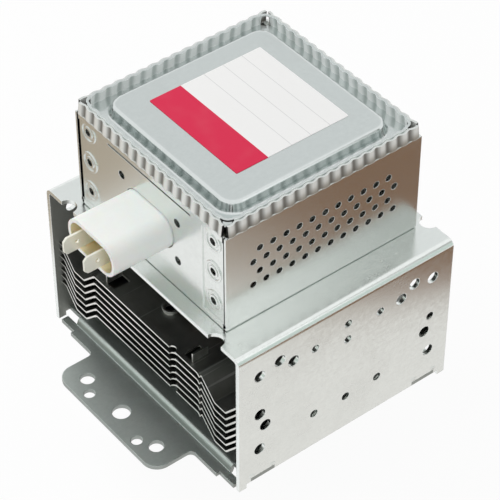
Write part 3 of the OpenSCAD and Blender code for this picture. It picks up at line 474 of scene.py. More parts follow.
@dataclass(frozen=True)
class PrintedPaper(Finish):
    """Coated paper with a coloured band along one side and faint ruled lines; places are in millimetres."""

    band: Colour = (0.70, 0.020, 0.075)
    rule: Colour = (0.66, 0.66, 0.66)
    middle: float = 0.0
    half: float = 21.65
    band_depth: float = 11.95
    band_blur: float = 0.06
    rules: tuple[float, ...] = (21.0, 28.5, 36.0)
    rule_width: float = 0.14

    def _colour(self, w: Wiring, where: Socket, ground: Socket) -> Socket:
        """Prints the rules and the band.

        Args:
            w: Wiring of the material.
            where: Object coordinates.
            ground: Colour of the bare paper.

        Returns:
            The printed colour.
        """
        along, edge = w.axes(where)[1], self.middle - self.half
        for place in self.rules:
            off = w.maths("ABSOLUTE", w.maths("SUBTRACT", along, (edge + place) * MM))
            line = w.spread(off, self.rule_width * MM, 0.5 * self.rule_width * MM)
            ground = w.mix(line, ground, self.rule)
        split = edge + self.band_depth
        banded = w.spread(along, (split + self.band_blur) * MM, (split - self.band_blur) * MM)
        return w.mix(banded, ground, self.band)


@dataclass(frozen=True)
class FacingShadeSheet(Finish):
    """Sheet with uneven painted shade on some of its faces, chosen by how level they lie."""

    # colour of the painted shade
    facing_shade: Colour = (0.11, 0.115, 0.105)
    facing_shade_share: float = 0.93
    bare: float = 0.15
    shaded_level: float = 0.45
    cloud_scale: float = 60.0
    cloud: Span = (0.2, 0.8)
    cloud_share: Span = (0.8, 1.0)

    def _colour(self, w: Wiring, where: Socket, ground: Socket) -> Socket:
        """Paints shade, uneven, from none at the level called bare to full at the shaded level.

        Args:
            w: Wiring of the material.
            where: Object coordinates.
            ground: Colour of the metal without its painted shade.

        Returns:
            The colour with its painted shade.
        """
        level = w.spread(w.maths("ABSOLUTE", w.axes(w.normal())[2]), self.bare, self.shaded_level)
        clouds = w.noise(where, self.cloud_scale, Detail=3.0, Roughness=0.6)
        uneven = w.spread(clouds, *self.cloud, *self.cloud_share)
        # painted shade: faces darken by how level they lie, in uneven clouds
        return w.mix(w.product(level, uneven, self.facing_shade_share), ground, self.facing_shade)


@dataclass(frozen=True)
class FoldedSheet(Finish):
    """Sheet folded to a frame around the middle plane, duller on the walls that look at that plane, which
    carry painted shade.

    Walls further from it than the limits, in millimetres, are dull and greyed with painted shade.
    """

    # colour of the painted shade on the walls that look at the middle plane
    inside: Colour = (0.30, 0.305, 0.28)
    limits: Span = (20.0, 40.0)

    def _worked(self, w: Wiring, where: Socket) -> Socket:
        """Masks the walls that look at the middle plane."""
        looks_out = w.maths("MULTIPLY", w.axes(where)[0], w.axes(w.normal())[0])
        return w.spread(looks_out, *(-limit * MM for limit in self.limits))

    def _colour(self, w: Wiring, where: Socket, ground: Socket) -> Socket:
        """Greys the dull walls with painted shade."""
        # painted shade on the walls inside the frame
        return w.mix(self._worked(w, where), ground, self.inside)


@dataclass(frozen=True)
class CrimpedSheet(Finish):
    """Sheet of the crimped box: dull on its rim, with painted shade across its crimped rim, corner slots and
    seams.

    Places and widths are in millimetres from the box's middle. The painted shade of the crimp counts from 0
    at the middle of a pillow to 1 at the middle of a groove. A painted brown reflection lies on the side
    rims' lower part.
    """

    foot: float = 0.0
    foot_blur: float = 0.2
    upright: Span = (0.75, 0.45)
    half: Span = (37.7, 37.85)
    pitch: float = 4.42
    # tone of the dulled rim faces, darkened by the painted shade of the crimp
    rim: Colour = (0.83, 0.83, 0.81)
    # colour of the painted brown reflection on the side rims' lower part
    painted_heel_reflection: Colour | None = None
    heel_reflection_height: float = 3.4
    # colour of the painted shade in the crimp
    painted_fold_shade: Colour = (0.17, 0.158, 0.14)
    fold_shade_span: Span = (0.15, 0.95)
    fold_shade_share: float = 0.9
    rim_depth: float = 3.2
    corner: Span = (1.85, 1.25)
    seam: float = 0.0
    seam_half: float = 0.45
    seam_depth: float = 1.0
    # colour of the painted shade in the corner slots and the seams
    shade: Colour = (0.012, 0.012, 0.012)

    def _behind(self, w: Wiring, where: Socket) -> list[Socket]:
        """Measures in metres how far a point lies behind the side walls, and behind the front and back."""
        off = [w.maths("ABSOLUTE", part) for part in w.axes(where)[:2]]
        return [w.maths("SUBTRACT", half * MM, value) for half, value in zip(self.half, off)]

    def _worked(self, w: Wiring, where: Socket) -> Socket:
        """Masks the rim's upright faces.

        Args:
            w: Wiring of the material.
            where: Object coordinates.

        Returns:
            The mask.
        """
        above = w.spread(w.axes(where)[2], self.foot * MM, (self.foot + self.foot_blur) * MM)
        upright = w.spread(w.maths("ABSOLUTE", w.axes(w.normal())[2]), *self.upright)
        depth = w.maths("MINIMUM", *self._behind(w, where))
        return w.product(above, upright, w.maths("LESS_THAN", depth, self.rim_depth * MM))

    def _colour(self, w: Wiring, where: Socket, ground: Socket) -> Socket:
        """Dulls the rim, paints shade across its crimp and a brown reflection low on the side rims.

        Args:
            w: Wiring of the material.
            where: Object coordinates.
            ground: Colour of the bare metal.

        Returns:
            The colour.
        """
        behind = self._behind(w, where)
        on_side = w.maths("LESS_THAN", *behind)
        along = w.node("ShaderNodeMix")
        off = (w.maths("SUBTRACT", half * MM, value) for half, value in zip(self.half, behind))
        for index, value in zip(w.NUMBER_MIX, (on_side, *off)):
            w.feed(along.inputs[index], value)
        step = 0.5 * self.pitch * MM
        count = w.maths("DIVIDE", w.maths("PINGPONG", along.outputs[0], step), step)
        worked = self._worked(w, where)
        # painted shade on the crimped rim, spread across each pillow by its count
        folded = w.maths("MULTIPLY", w.spread(count, *self.fold_shade_span), self.fold_shade_share)
        rim: Any = self.rim
        # painted reflection: the side rims' lower part turns brown
        if self.painted_heel_reflection is not None:
            low = w.spread(w.axes(where)[2], (self.foot + self.heel_reflection_height) * MM, self.foot * MM)
            rim = w.mix(w.maths("MULTIPLY", low, on_side), self.rim, self.painted_heel_reflection)
        return w.mix(w.maths("MULTIPLY", worked, folded), w.mix(worked, ground, rim), self.painted_fold_shade)

    def _shaded(self, w: Wiring, where: Socket, colour: Socket) -> Socket:
        """Paints shade: blackens the corner slots and the seams where shadow falls.

        Args:
            w: Wiring of the material.
            where: Object coordinates.
            colour: Colour with its wear.

        Returns:
            The colour.
        """
        place, facing = w.axes(where), w.axes(w.normal())
        behind = self._behind(w, where)
        looks_out = w.maths("ADD", *(w.maths("MULTIPLY", place[axis], facing[axis]) for axis in (0, 1)))
        near = (w.maths("LESS_THAN", off, reach * MM) for off, reach in zip(behind, self.corner))
        # painted shade in the corner slots
        slot = w.product(self._worked(w, where), w.maths("GREATER_THAN", looks_out, 0.0), *near)
        colour = w.mix(slot, colour, self.shade)
        if not self.seam:
            return colour
        # painted shade along the front seam, in the shadow of its lip
        off = w.maths("ABSOLUTE", w.maths("SUBTRACT", behind[0], (self.half[0] - self.seam) * MM))
        line = w.maths("LESS_THAN", off, self.seam_half * MM)
        front = w.maths("LESS_THAN", place[1], (self.seam_depth - self.half[1]) * MM)
        below = w.maths("LESS_THAN", place[2], self.foot * MM)
        return w.mix(w.product(line, front, below), colour, self.shade)


@dataclass(frozen=True)
class MouldedPlastic(Finish):
    """Moulded plastic with a painted yellow glow inside its socket, for light through the plastic; the socket
    opens along -Y; places are in millimetres.
    """

    # colour of the painted glow inside the socket
    painted_cream_glow: Colour = (0.77, 0.71, 0.40)
    middle: Point = (0.0, 0.0, 0.0)
    mouth: float = 0.0
    walls: Span = (0.4, 1.6)
    back: Span = (4.0, 9.0)
    back_level: Span = (-0.5, -0.8)
    fade: float = 5.0
    fade_share: float = 0.75

    def _colour(self, w: Wiring, where: Socket, ground: Socket) -> Socket:
        """Paints a yellow glow on the walls that look at the socket's middle line, and on its back.

        Args:
            w: Wiring of the material.
            where: Object coordinates.
            ground: Colour of the plastic outside.

        Returns:
            The colour with its painted glow.
        """
        off = w.vectors("SUBTRACT", where, tuple(p * MM for p in self.middle))[0]
        across = w.vectors("MULTIPLY", off, (1.0, 0.0, 1.0))[0]
        looks_out = w.vectors("DOT_PRODUCT", across, w.normal())["Value"]
        walls = w.spread(looks_out, *(-limit * MM for limit in self.walls))
        along = w.axes(where)[1]
        deep = w.spread(along, *((self.mouth + limit) * MM for limit in self.back))
        back = w.maths("MULTIPLY", deep, w.spread(w.axes(w.normal())[1], *self.back_level))
        fade = w.spread(along, self.mouth * MM, (self.mouth + self.fade) * MM, self.fade_share, 1.0)
        # painted light: a yellow glow inside the socket, stronger deeper in, for light through the plastic
        return w.mix(w.product(w.maths("MAXIMUM", walls, back), fade), ground, self.painted_cream_glow)


class Workbench:
    """Modelling by operators, with everything deselected before each step."""

    @staticmethod
    def clear() -> None:
        """Leaves edit mode and deselects every object."""
        if bpy.context.object and bpy.context.object.mode != "OBJECT":
            bpy.ops.object.mode_set(mode="OBJECT")
        bpy.ops.object.select_all(action="DESELECT")

    @staticmethod
    def take_all() -> None:
        """Selects everything in the piece that is open for editing."""
        bpy.ops.mesh.select_all(action="SELECT")

    @staticmethod
    def join(pieces: Sequence[Piece], into: Piece) -> None:
        """Joins pieces to one.

        Args:
            pieces: All the pieces.
            into: The one among them that the others become part of.
        """
        Workbench.clear()
        for piece in pieces:
            piece.select_set(True)
        bpy.context.view_layer.objects.active = into
        bpy.ops.object.join()

    @staticmethod
    def edit(piece: Piece) -> None:
        """Opens a piece for editing with nothing selected in it.

        Args:
            piece: The piece.
        """
        Workbench.clear()
        bpy.context.view_layer.objects.active = piece
        piece.select_set(True)
        bpy.ops.object.mode_set(mode="EDIT")
        bpy.ops.mesh.select_mode(type="VERT")
        bpy.ops.mesh.select_all(action="DESELECT")

    @staticmethod
    def done(piece: Piece, name: str, smooth: float = 30.0) -> Piece:
        """Closes a piece: place into its mesh, smooth shading by angle, and its name.

        Args:
            piece: The piece.
            name: Its name.
            smooth: Largest angle that is shaded smooth, in degrees.

        Returns:
            The piece.
        """
        Workbench.clear()
        bpy.context.view_layer.objects.active = piece
        piece.select_set(True)
        bpy.ops.object.transform_apply(location=True, rotation=True, scale=True)
        bpy.ops.object.shade_smooth_by_angle(angle=math.radians(smooth))
        piece.name = name
        piece.data.name = name
        piece.select_set(False)
        return piece


@dataclass
class Label:
    """The printed label on the cover's panel."""

    corner: float = 0.4
    low: Vector = field(default_factory=Vector)
    high: Vector = field(default_factory=Vector)

    def build(self) -> Piece:
        """Models the sheet: a plane with cut corners that is extruded to its thickness.

        Returns:
            The sheet.
        """
        self.low, self.high = (Vector(p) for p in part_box("label_sheet"))
        size, middle = self.high - self.low, (self.low + self.high) / 2
        Workbench.clear()
        bpy.ops.mesh.primitive_plane_add(size=1.0, location=(middle.x, middle.y, self.low.z))
        sheet = bpy.context.object
        sheet.scale = (size.x, size.y, 1.0)
        bpy.ops.object.transform_apply(location=False, rotation=False, scale=True)
        Workbench.edit(sheet)
        Workbench.take_all()
        bpy.ops.mesh.bevel(offset=self.corner * MM, segments=6, affect="VERTICES", profile=0.5)
        Workbench.take_all()
        bpy.ops.mesh.extrude_region_move(TRANSFORM_OT_translate={"value": (0.0, 0.0, size.z)})
        Workbench.take_all()
        bpy.ops.mesh.normals_make_consistent(inside=False)
        return Workbench.done(sheet, "label")

    def dress(self, sheet: Piece, effects: Effects) -> None:
        """Gives the sheet its print.

        Args:
            sheet: The sheet.
            effects: The shared node groups.
        """
        paper = PrintedPaper(
            "printed_paper", (0.86, 0.86, 0.85), (0.93, 0.93, 0.92), roughness=0.5, speckle=0.3,
            speckle_size=0.3, smudge=0.06, smudge_colour=(0.72, 0.71, 0.68), bump=0.02, specular=0.25,
            edge_radius=0.05, middle=(self.low.y + self.high.y) / 2 / MM,
            half=(self.high.x - self.low.x) / 2 / MM,
        )
        sheet.data.materials.append(paper.make(effects))
        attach(sheet, "root")
        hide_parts("label_sheet")


@dataclass
class StakeMarks:
    """Chisel marks that hold the plate's tenons in both walls of the yoke."""

    places: tuple[Span, ...] = ((-37.9, 4.9), (-29.6, 4.9), (29.6, 4.9), (37.9, 4.9))
    length: float = 2.0
    height: float = 1.1
    proud: float = 0.10
    root: float = 0.2
    lip: float = 0.22
    dent: float = 0.16
    taper: Point = (1.0, 0.6, 0.5)
    rounding: float = 0.04
    facing: float = 0.9

    def build(self) -> Piece:
        """Models one mark, a low lip round a dent, and copies it to each place.

        Returns:
            All the marks as one piece.
        """
        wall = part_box("yoke_frame")[1][0]
        marks: list[Piece] = []
        for turn in (0.0, math.pi):
            for y, z in self.places:
                marks.append(self._mark(wall, y * MM, z * MM, turn))
        Workbench.join(marks, marks[0])
        return Workbench.done(marks[0], "stake_marks")

    def _mark(self, wall: float, y: float, z: float, turn: float) -> Piece:
        """Models one mark on the right wall and turns it to its side.

        Args:
            wall: Distance of the wall's face from the middle, in metres.
            y: Place along the wall.
            z: Height.
            turn: Turn about the upright axis.

        Returns:
            The mark.
        """
        middle = wall + (self.proud - self.root) / 2 * MM
        Workbench.clear()
        bpy.ops.mesh.primitive_cube_add(size=1.0, location=(middle, y, z))
        mark = bpy.context.object
        mark.scale = Vector((self.proud + self.root, self.length, self.height)) * MM
        bpy.ops.object.transform_apply(location=True, rotation=False, scale=True)
        outer = [face.normal.x > self.facing for face in mark.data.polygons]
        mark.data.polygons.foreach_set("select", outer)
        bpy.ops.object.mode_set(mode="EDIT")
        bpy.ops.mesh.select_mode(type="FACE")
        bpy.ops.mesh.inset(thickness=self.lip * MM)
        bpy.ops.mesh.extrude_region_move(TRANSFORM_OT_translate={"value": (-self.dent * MM, 0.0, 0.0)})
        bpy.ops.transform.resize(value=self.taper)
        Workbench.take_all()
        bpy.ops.mesh.bevel(offset=self.rounding * MM, segments=2, affect="EDGES")
        bpy.ops.object.mode_set(mode="OBJECT")
        bpy.ops.transform.rotate(value=turn, orient_axis="Z", center_override=(0.0, 0.0, 0.0))
        bpy.ops.object.transform_apply(location=True, rotation=True, scale=True)
        return mark

    def dress(self, marks: Piece, finish: Material) -> None:
        """Gives the marks the yoke's finish.

        Args:
            marks: The marks.
            finish: The yoke's material.
        """
        marks.data.materials.append(finish)
        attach(marks, "root")


@dataclass
class WireGasket:
    """The gasket round the antenna: wire loops wound about a core of the same wire."""

    inner: float = 12.0
    wire: float = 0.16
    loops: int = 84
    loop_segments: int = 20
    wire_segments: int = 6
    slant: float = 0.42
    core_corner: float = 0.6
    core_steps: int = 96
    weld: float = 0.01
    smooth: float = 50.0

    def build(self) -> Piece:
        """Models one loop, copies it round the ring and adds the core.

        Returns:
            The gasket.
        """
        low, high = (Vector(p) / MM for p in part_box("rf_gasket"))
        outer, middle_z = high.x, (low.z + high.z) / 2
        half_r = (outer - self.inner) / 2 - self.wire
        half_z = (high.z - low.z) / 2 - self.wire
        middle_r = (outer + self.inner) / 2
        first = self._loop(middle_r, middle_z, half_r, half_z)
        loops = [first]
        for index in range(1, self.loops):
            Workbench.clear()
            first.select_set(True)
            bpy.context.view_layer.objects.active = first
            bpy.ops.object.duplicate(linked=False)
            copy = bpy.context.object
            bpy.ops.transform.rotate(
                value=2 * math.pi * index / self.loops, orient_axis="Z", center_override=(0.0, 0.0, 0.0))
            loops.append(copy)
        core = self._core(middle_r, middle_z, half_r - self.wire, half_z - self.wire)
        Workbench.join((*loops, core), core)
        return Workbench.done(core, "wire_gasket", self.smooth)

    def _loop(self, middle_r: float, middle_z: float, half_r: float, half_z: float) -> Piece:
        """Models one slanted loop of wire.

        Args:
            middle_r: Radius of the ring's middle line, in millimetres.
            middle_z: Height of the ring's middle.
            half_r: Half of the loop's width.
            half_z: Half of the loop's height.

        Returns:
            The loop.
        """
        centre = (middle_r * MM, 0.0, middle_z * MM)
        Workbench.clear()
        bpy.ops.mesh.primitive_torus_add(
            location=centre, rotation=(math.pi / 2, 0.0, 0.0), major_segments=self.loop_segments,
            minor_segments=self.wire_segments, major_radius=half_z * MM, minor_radius=self.wire * MM)
        loop = bpy.context.object
        bpy.ops.object.transform_apply(location=True, rotation=True, scale=True)
        Workbench.edit(loop)
        Workbench.take_all()
        bpy.ops.transform.resize(value=(half_r / half_z, 1.0, 1.0), center_override=centre)
        bpy.ops.transform.rotate(value=self.slant, orient_axis="X", center_override=centre)
        bpy.ops.object.mode_set(mode="OBJECT")
        return loop

    def _core(self, middle_r: float, middle_z: float, half_r: float, half_z: float) -> Piece:
        """Models the core, a ring spun from a bevelled square.

        Args:
            middle_r: Radius of the ring's middle line, in millimetres.
            middle_z: Height of the ring's middle.
            half_r: Half of the core's width.
            half_z: Half of the core's height.

        Returns:
            The core.
        """
        Workbench.clear()
        bpy.ops.mesh.primitive_plane_add(
            size=2.0, location=(middle_r * MM, 0.0, middle_z * MM), rotation=(math.pi / 2, 0.0, 0.0))
        core = bpy.context.object
        core.scale = (half_r * MM, half_z * MM, 1.0)
        bpy.ops.object.transform_apply(location=True, rotation=True, scale=True)
        Workbench.edit(core)
        Workbench.take_all()
        bpy.ops.mesh.bevel(offset=self.core_corner * MM, segments=3, affect="VERTICES")
        Workbench.take_all()
        bpy.ops.mesh.delete(type="ONLY_FACE")
        Workbench.take_all()
        bpy.ops.mesh.spin(
            steps=self.core_steps, angle=2 * math.pi, center=(0.0, 0.0, 0.0), axis=(0.0, 0.0, 1.0))
        Workbench.take_all()
        bpy.ops.mesh.remove_doubles(threshold=self.weld * MM)
        bpy.ops.mesh.normals_make_consistent(inside=False)
        bpy.ops.object.mode_set(mode="OBJECT")
        return core

    def dress(self, gasket: Piece, finish: Material) -> None:
        """Gives the gasket its wire finish.

        Args:
            gasket: The gasket.
            finish: Material of the wire.
        """
        gasket.data.materials.append(finish)
        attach(gasket, "root")
        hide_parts("rf_gasket")


@dataclass(frozen=True)
class Card:
    """A card outside the picture that only metal sees, plain or shaded along one axis from start to end."""

    ROUND: ClassVar[tuple[int, ...]] = (0, 1, 3, 2)

    name: str
    corners: tuple[Point, ...]
    start: Colour
    end: Colour | None = None
    axis: int = 1
    low: float = 0.0
    high: float = 1.0

    @staticmethod
    def lying(height: float, *corners: Span) -> tuple[Point, ...]:
        """Lays corners flat at a height, all in millimetres."""
        return tuple((x, y, height) for x, y in corners)

    def build(self) -> Piece:
        """Models the card and gives it its shade.

        Returns:
            The card.
        """
        Workbench.clear()
        bpy.ops.mesh.primitive_plane_add(size=1.0, location=(0.0, 0.0, 0.0))
        card = bpy.context.object
        card.name = self.name
        for index, corner in zip(self.ROUND, self.corners):
            card.data.vertices[index].co = Vector(corner) * MM
        card.visible_camera = card.visible_diffuse = card.visible_shadow = False
        material = bpy.data.materials.new(self.name)
        material.use_nodes = True
        w = Wiring(material.node_tree)
        glow = w.node("ShaderNodeEmission")
        tone: Any = self.start
        if self.end is not None:
            place = w.axes(w.node("ShaderNodeTexCoord").outputs["Object"])[self.axis]
            tone = w.mix(w.spread(place, self.low * MM, self.high * MM), self.start, self.end)
        w.feed(glow.inputs[0], tone)
        w.feed(w.tree.nodes["Material Output"].inputs[0], glow.outputs[0])
        card.data.materials.append(material)
        card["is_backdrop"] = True
        return card


@dataclass
class Studio:
    """Pale floor, soft light and the camera of the photograph.

    The camera's place and lens are in millimetres; a lamp has its name, place, width and power.
    """

    LAMPS: ClassVar[tuple[tuple[str, Point, float, float], ...]] = (
        ("key", (-0.50, -0.30, 0.80), 0.60, 3.6),
        ("fill", (0.75, -0.25, 0.45), 0.60, 0.55),
    )
    SENSOR: ClassVar[float] = 36.0
    CLIP: ClassVar[Span] = (0.01, 20.0)

    azimuth: float = 51.68
    elevation: float = 42.90
    distance: float = 712.06
    lens: float = 160.3
    target: Point = (3.47, -1.74, 46.63)
    card_lifts: Span = (0.3, 0.6)
    daylight: float = 0.62
    floor_size: float = 6.0
    floor_tone: float = 0.9
    floor_roughness: float = 0.9
    floor_white: float = 0.93

    def build(self, ground: float) -> None:
        """Sets up the floor, the cards, the lamps, the world and the camera.

        Args:
            ground: Height of the floor in metres.
        """
        self._floor(ground)
        lower, upper = (ground / MM + lift for lift in self.card_lifts)
        for card in (
            Card("wall_card", Card.lying(lower, (54, -60), (136, -60), (136, 190), (54, 190)),
                 (0.83, 0.805, 0.78)),
            Card("right_card", Card.lying(upper, (127, 20), (420, 20), (420, 180), (63, 180)),
                 (0.38, 0.31, 0.25), (0.215, 0.125, 0.075), 1, 30.0, 85.0),
            Card("left_card", Card.lying(upper, (-420, -420), (-90, -420), (-90, -50), (-420, -50)),
                 (0.48, 0.41, 0.325), (1.0, 1.0, 1.0), 0, -125.0, -92.0),
            Card("right_flag", ((330, -250, 20), (330, 420, 20), (330, 420, 250), (330, -250, 250)),
                 (0.62, 0.71, 0.67)),
            Card("right_sky", ((331, 100, 260), (331, 420, 260), (331, 420, 560), (331, 100, 560)),
                 (1.2, 1.2, 1.2), (0.28, 0.30, 0.28), 1, 212.0, 275.0),
            Card("front_flag", ((-420, -330, 20), (180, -330, 20), (180, -330, 200), (-420, -330, 200)),
                 (0.55, 0.65, 0.59)),
            Card("lid_sky", ((-900, 100, 700), (-200, 100, 700), (-200, 800, 700), (-900, 800, 700)),
                 (0.80, 0.815, 0.815)),
        ):
            card.build()
        self._world()
        for lamp in self.LAMPS:
            self._lamp(*lamp)
        self._camera()

    def _seen(self, w: Wiring) -> Socket:
        """Masks the rays that show the background to the camera, to metal and to glass.

        Args:
            w: Wiring of the floor or the world.

        Returns:
            The mask.
        """
        path = w.node("ShaderNodeLightPath").outputs
        first = w.maths("MAXIMUM", path["Is Camera Ray"], path["Is Glossy Ray"])
        return w.maths("MAXIMUM", first, path["Is Transmission Ray"])

    def _floor(self, ground: float) -> None:
        """Adds the floor: a white sheet that keeps a faint shadow.

        Args:
            ground: Height of the floor in metres.
        """
        Workbench.clear()
        bpy.ops.mesh.primitive_plane_add(size=self.floor_size, location=(0.0, 0.0, ground))
        floor = bpy.context.object
        floor.name = "floor"
        material = bpy.data.materials.new("white_floor")
        material.use_nodes = True
        w = Wiring(material.node_tree)
        matt, white = w.tree.nodes["Principled BSDF"], w.node("ShaderNodeEmission")
        matt.inputs["Base Color"].default_value = (self.floor_tone, self.floor_tone, self.floor_tone, 1.0)
        matt.inputs["Roughness"].default_value = self.floor_roughness
        share = w.maths("MULTIPLY", self._seen(w), self.floor_white)
        both = w.blend(share, matt.outputs[0], white.outputs[0])
        w.feed(w.tree.nodes["Material Output"].inputs[0], both)
        floor.data.materials.append(material)
        floor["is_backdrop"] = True

    def _world(self) -> None:
        """Lights the scene evenly, and shows white to the camera and to metal."""
        world = bpy.data.worlds.new("studio")
        bpy.context.scene.world = world
        world.use_nodes = True
        w = Wiring(world.node_tree)
        even, white = w.tree.nodes["Background"], w.node("ShaderNodeBackground")
        for light, strength in ((even, self.daylight), (white, 1.0)):
            light.inputs[0].default_value = (1.0, 1.0, 1.0, 1.0)
            light.inputs[1].default_value = strength
        both = w.blend(self._seen(w), even.outputs[0], white.outputs[0])
        w.feed(w.tree.nodes["World Output"].inputs[0], both)

    def _lamp(self, name: str, place: Point, size: float, power: float) -> None:
        """Hangs a soft lamp that looks at the object and stays out of its reflections.

        Args:
            name: Name of the lamp.
            place: Its place in metres.
            size: Width of its face in metres.
            power: Its power in watts.
        """
        lamp = bpy.data.lights.new(name, "AREA")
        lamp.shape = "DISK"
        lamp.size = size
        lamp.energy = power
        holder = bpy.data.objects.new(name, lamp)
        bpy.context.scene.collection.objects.link(holder)
        holder.location = place
        holder.visible_glossy = False
        aim = Vector(self.target) * MM - Vector(place)
        holder.rotation_euler = aim.to_track_quat("-Z", "Y").to_euler()

    def _camera(self) -> None:
        """Sets the camera where the photograph was taken from."""
        data = bpy.data.cameras.new("camera")
        data.sensor_width = self.SENSOR
        data.lens = self.lens
        data.clip_start, data.clip_end = self.CLIP
        camera = bpy.data.objects.new("camera", data)
        bpy.context.scene.collection.objects.link(camera)
        az, el = math.radians(self.azimuth), math.radians(self.elevation)
        back = Vector((math.cos(el) * math.sin(az), -math.cos(el) * math.cos(az), math.sin(el)))
        camera.location = (Vector(self.target) + back * self.distance) * MM
        camera.rotation_euler = (-back).to_track_quat("-Z", "Y").to_euler()
        bpy.context.scene.camera = camera


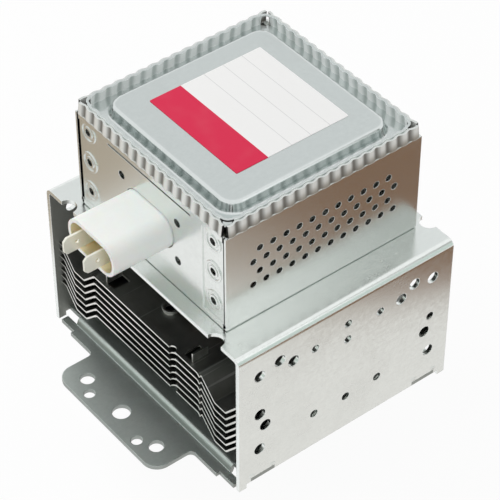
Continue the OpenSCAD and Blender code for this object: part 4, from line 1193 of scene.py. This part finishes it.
@dataclass
class Dressing:
    """Finishes of the CAD nodes, by the record's material slots."""

    effects: Effects
    rim_height: float = 4.3
    finishes: dict[str, Finish] = field(default_factory=dict)

    def __post_init__(self) -> None:
        """Lists the finish of each slot."""
        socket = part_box("connector_housing")
        rim_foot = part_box("filter_box")[1][2] / MM - self.rim_height
        zinc = dict(
            metallic=1.0, spangle=0.22, spangle_size=1.1, grain=0.25, smudge=0.06, scratch=0.008, edge=0.4,
            bump=0.008)
        listed = (
            FoldedSheet("zinc_steel", (0.785, 0.815, 0.80), (0.875, 0.91, 0.89), roughness=0.23,
                        edge_radius=0.35, **zinc),
            FacingShadeSheet("plate_steel", (0.54, 0.59, 0.565), (0.66, 0.71, 0.685), roughness=0.46,
                        edge_radius=0.35, facing_shade=(0.285, 0.30, 0.285), facing_shade_share=0.9, bare=0.7, shaded_level=0.3,
                        **{**zinc, "edge": 0.1}),
            CrimpedSheet("box_steel", (0.74, 0.765, 0.745), (0.83, 0.855, 0.835), roughness=0.23,
                         rough_spread=0.05, edge_radius=0.25, foot=rim_foot, painted_heel_reflection=(0.35, 0.32, 0.275),
                         seam=36.55, **zinc),
            CrimpedSheet("cover_steel", (0.65, 0.69, 0.685), (0.72, 0.76, 0.752), roughness=0.15,
                         rough_spread=0.03, edge_radius=0.3, foot=rim_foot, rim=(0.96, 0.985, 0.975),
                         painted_fold_shade=(0.55, 0.60, 0.585), fold_shade_span=(0.65, 0.10), corner=(4.5, 4.5), worked_oxide=0.45,
                         **zinc),
            FacingShadeSheet("fin_aluminium", (0.70, 0.70, 0.67), (0.90, 0.90, 0.87), metallic=1.0, roughness=0.34,
                        grain=0.6, rolling=Rolling.ALONG_X, smudge=0.10, scratch=0.2, edge_radius=0.12,
                        bump=0.03),
            Finish("ferrite", (0.020, 0.020, 0.023), (0.075, 0.075, 0.080), roughness=0.62, speckle=0.8,
                   speckle_size=0.35, smudge=0.2, smudge_colour=(0.12, 0.115, 0.11), edge=0.4,
                   edge_radius=0.4, bump=0.2),
            Finish("copper", (0.50, 0.20, 0.10), (0.80, 0.42, 0.27), metallic=1.0, roughness=0.32, grain=0.4,
                   speckle=0.4, speckle_size=2.0, smudge=0.25, smudge_colour=(0.30, 0.13, 0.08), edge=0.4,
                   edge_radius=0.2),
            Finish("pole_iron", (0.36, 0.36, 0.35), (0.56, 0.56, 0.55), metallic=1.0, roughness=0.34,
                   grain=0.4, speckle=0.3, speckle_size=0.8, smudge=0.2, edge=0.5, edge_radius=0.3),
            Finish("tungsten", (0.16, 0.16, 0.17), (0.34, 0.34, 0.35), metallic=1.0, roughness=0.42,
                   speckle=0.7, speckle_size=0.2, edge=0.3, edge_radius=0.1, bump=0.1),
            Finish("sleeve_steel", (0.52, 0.52, 0.50), (0.72, 0.72, 0.69), metallic=1.0, roughness=0.26,
                   grain=0.6, rolling=Rolling.ALONG_Z, smudge=0.2, scratch=0.3, edge=0.5, edge_radius=0.2),
            Finish("terminal_metal", (0.56, 0.53, 0.46), (0.76, 0.73, 0.65), metallic=1.0, roughness=0.3,
                   grain=0.5, smudge=0.2, edge=0.5, edge_radius=0.12),
            Finish("alumina", (0.80, 0.76, 0.72), (0.92, 0.89, 0.86), roughness=0.34, speckle=0.6,
                   speckle_size=0.3, smudge=0.15, smudge_colour=(0.62, 0.56, 0.50), edge=0.3, edge_radius=0.3,
                   bump=0.04, coat=0.3),
            Finish("cap_steel", (0.58, 0.58, 0.57), (0.78, 0.78, 0.77), metallic=1.0, roughness=0.22,
                   grain=0.6, rolling=Rolling.ALONG_Z, smudge=0.12, scratch=0.35, edge=0.5, edge_radius=0.3),
            Finish("gasket_mesh", (0.34, 0.33, 0.30), (0.66, 0.65, 0.61), metallic=1.0, roughness=0.34,
                   speckle=0.9, speckle_size=0.5, edge=0.2, edge_radius=0.1, bump=0.6),
            Finish("label_paper", (0.86, 0.86, 0.85), (0.93, 0.93, 0.92), roughness=0.4, speckle=0.4),
            MouldedPlastic("connector_plastic", (0.92, 0.915, 0.88), (0.96, 0.955, 0.925), roughness=0.36,
                           speckle=0.5, speckle_size=0.7, smudge=0.12, smudge_colour=(0.66, 0.62, 0.52),
                           scratch=0.05, edge=0.3, edge_radius=0.6, bump=0.03, coat=0.1, glow=0.25,
                           middle=tuple((a + b) / 2 / MM for a, b in zip(*socket)), mouth=socket[0][1] / MM),
            Finish("capacitor_resin", (0.30, 0.20, 0.11), (0.46, 0.33, 0.20), roughness=0.42, speckle=0.6,
                   speckle_size=0.6, smudge=0.2, edge=0.3, edge_radius=0.3, bump=0.06),
            Finish("blade_metal", (0.90, 0.89, 0.78), (0.99, 0.98, 0.88), metallic=0.35, roughness=0.36,
                   grain=0.5, smudge=0.15, scratch=0.3, edge=0.6, edge_radius=0.15),
            Finish("choke_wire", (0.42, 0.13, 0.05), (0.68, 0.27, 0.12), metallic=0.8, roughness=0.26,
                   grain=0.3, speckle=0.3, speckle_size=1.5, edge=0.2, edge_radius=0.1, coat=0.6),
        )
        self.finishes = {finish.name: finish for finish in listed}

    def dress(self, nodes: dict[str, Piece]) -> dict[str, Material]:
        """Gives each CAD node the finish of its slot.

        Args:
            nodes: The CAD nodes by name.

        Returns:
            The material of each slot.
        """
        made = {slot: finish.make(self.effects) for slot, finish in self.finishes.items()}
        for name, node in nodes.items():
            slot = self._slot_of(node)
            for place in node.material_slots:
                place.material = made[slot]
            LOG.info("node %s: %s", name, slot)
        return made

    def _slot_of(self, node: Piece) -> str:
        """Finds a node's slot by the name of the material that it was packed with.

        Args:
            node: The CAD node.

        Returns:
            The slot's name.
        """
        packed = node.material_slots[0].material.name
        for slot in self.finishes:
            if packed.startswith(slot):
                return slot
        raise ValueError(f"{node.name} has the material {packed}")


def main() -> None:
    """Loads the frame, dresses it, adds the new pieces and sets up the studio."""
    logging.basicConfig(level=logging.INFO, format="%(name)s: %(message)s")
    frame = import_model()
    cad = [tuple(p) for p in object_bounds()]
    bpy.context.scene.view_settings.view_transform = "Standard"
    Studio().build(cad[0][2] - FLOOR_GAP)
    effects = Effects()
    made = Dressing(effects).dress(frame["nodes"])
    label, marks, gasket = Label(), StakeMarks(), WireGasket()
    pieces = [label.build(), marks.build(), gasket.build()]
    label.dress(pieces[0], effects)
    marks.dress(pieces[1], made[Slot.YOKE.value])
    gasket.dress(pieces[2], made[Slot.GASKET.value])
    for piece in pieces:
        LOG.info("piece %s: %d faces", piece.name, len(piece.data.polygons))


if __name__ == "__main__":
    main()
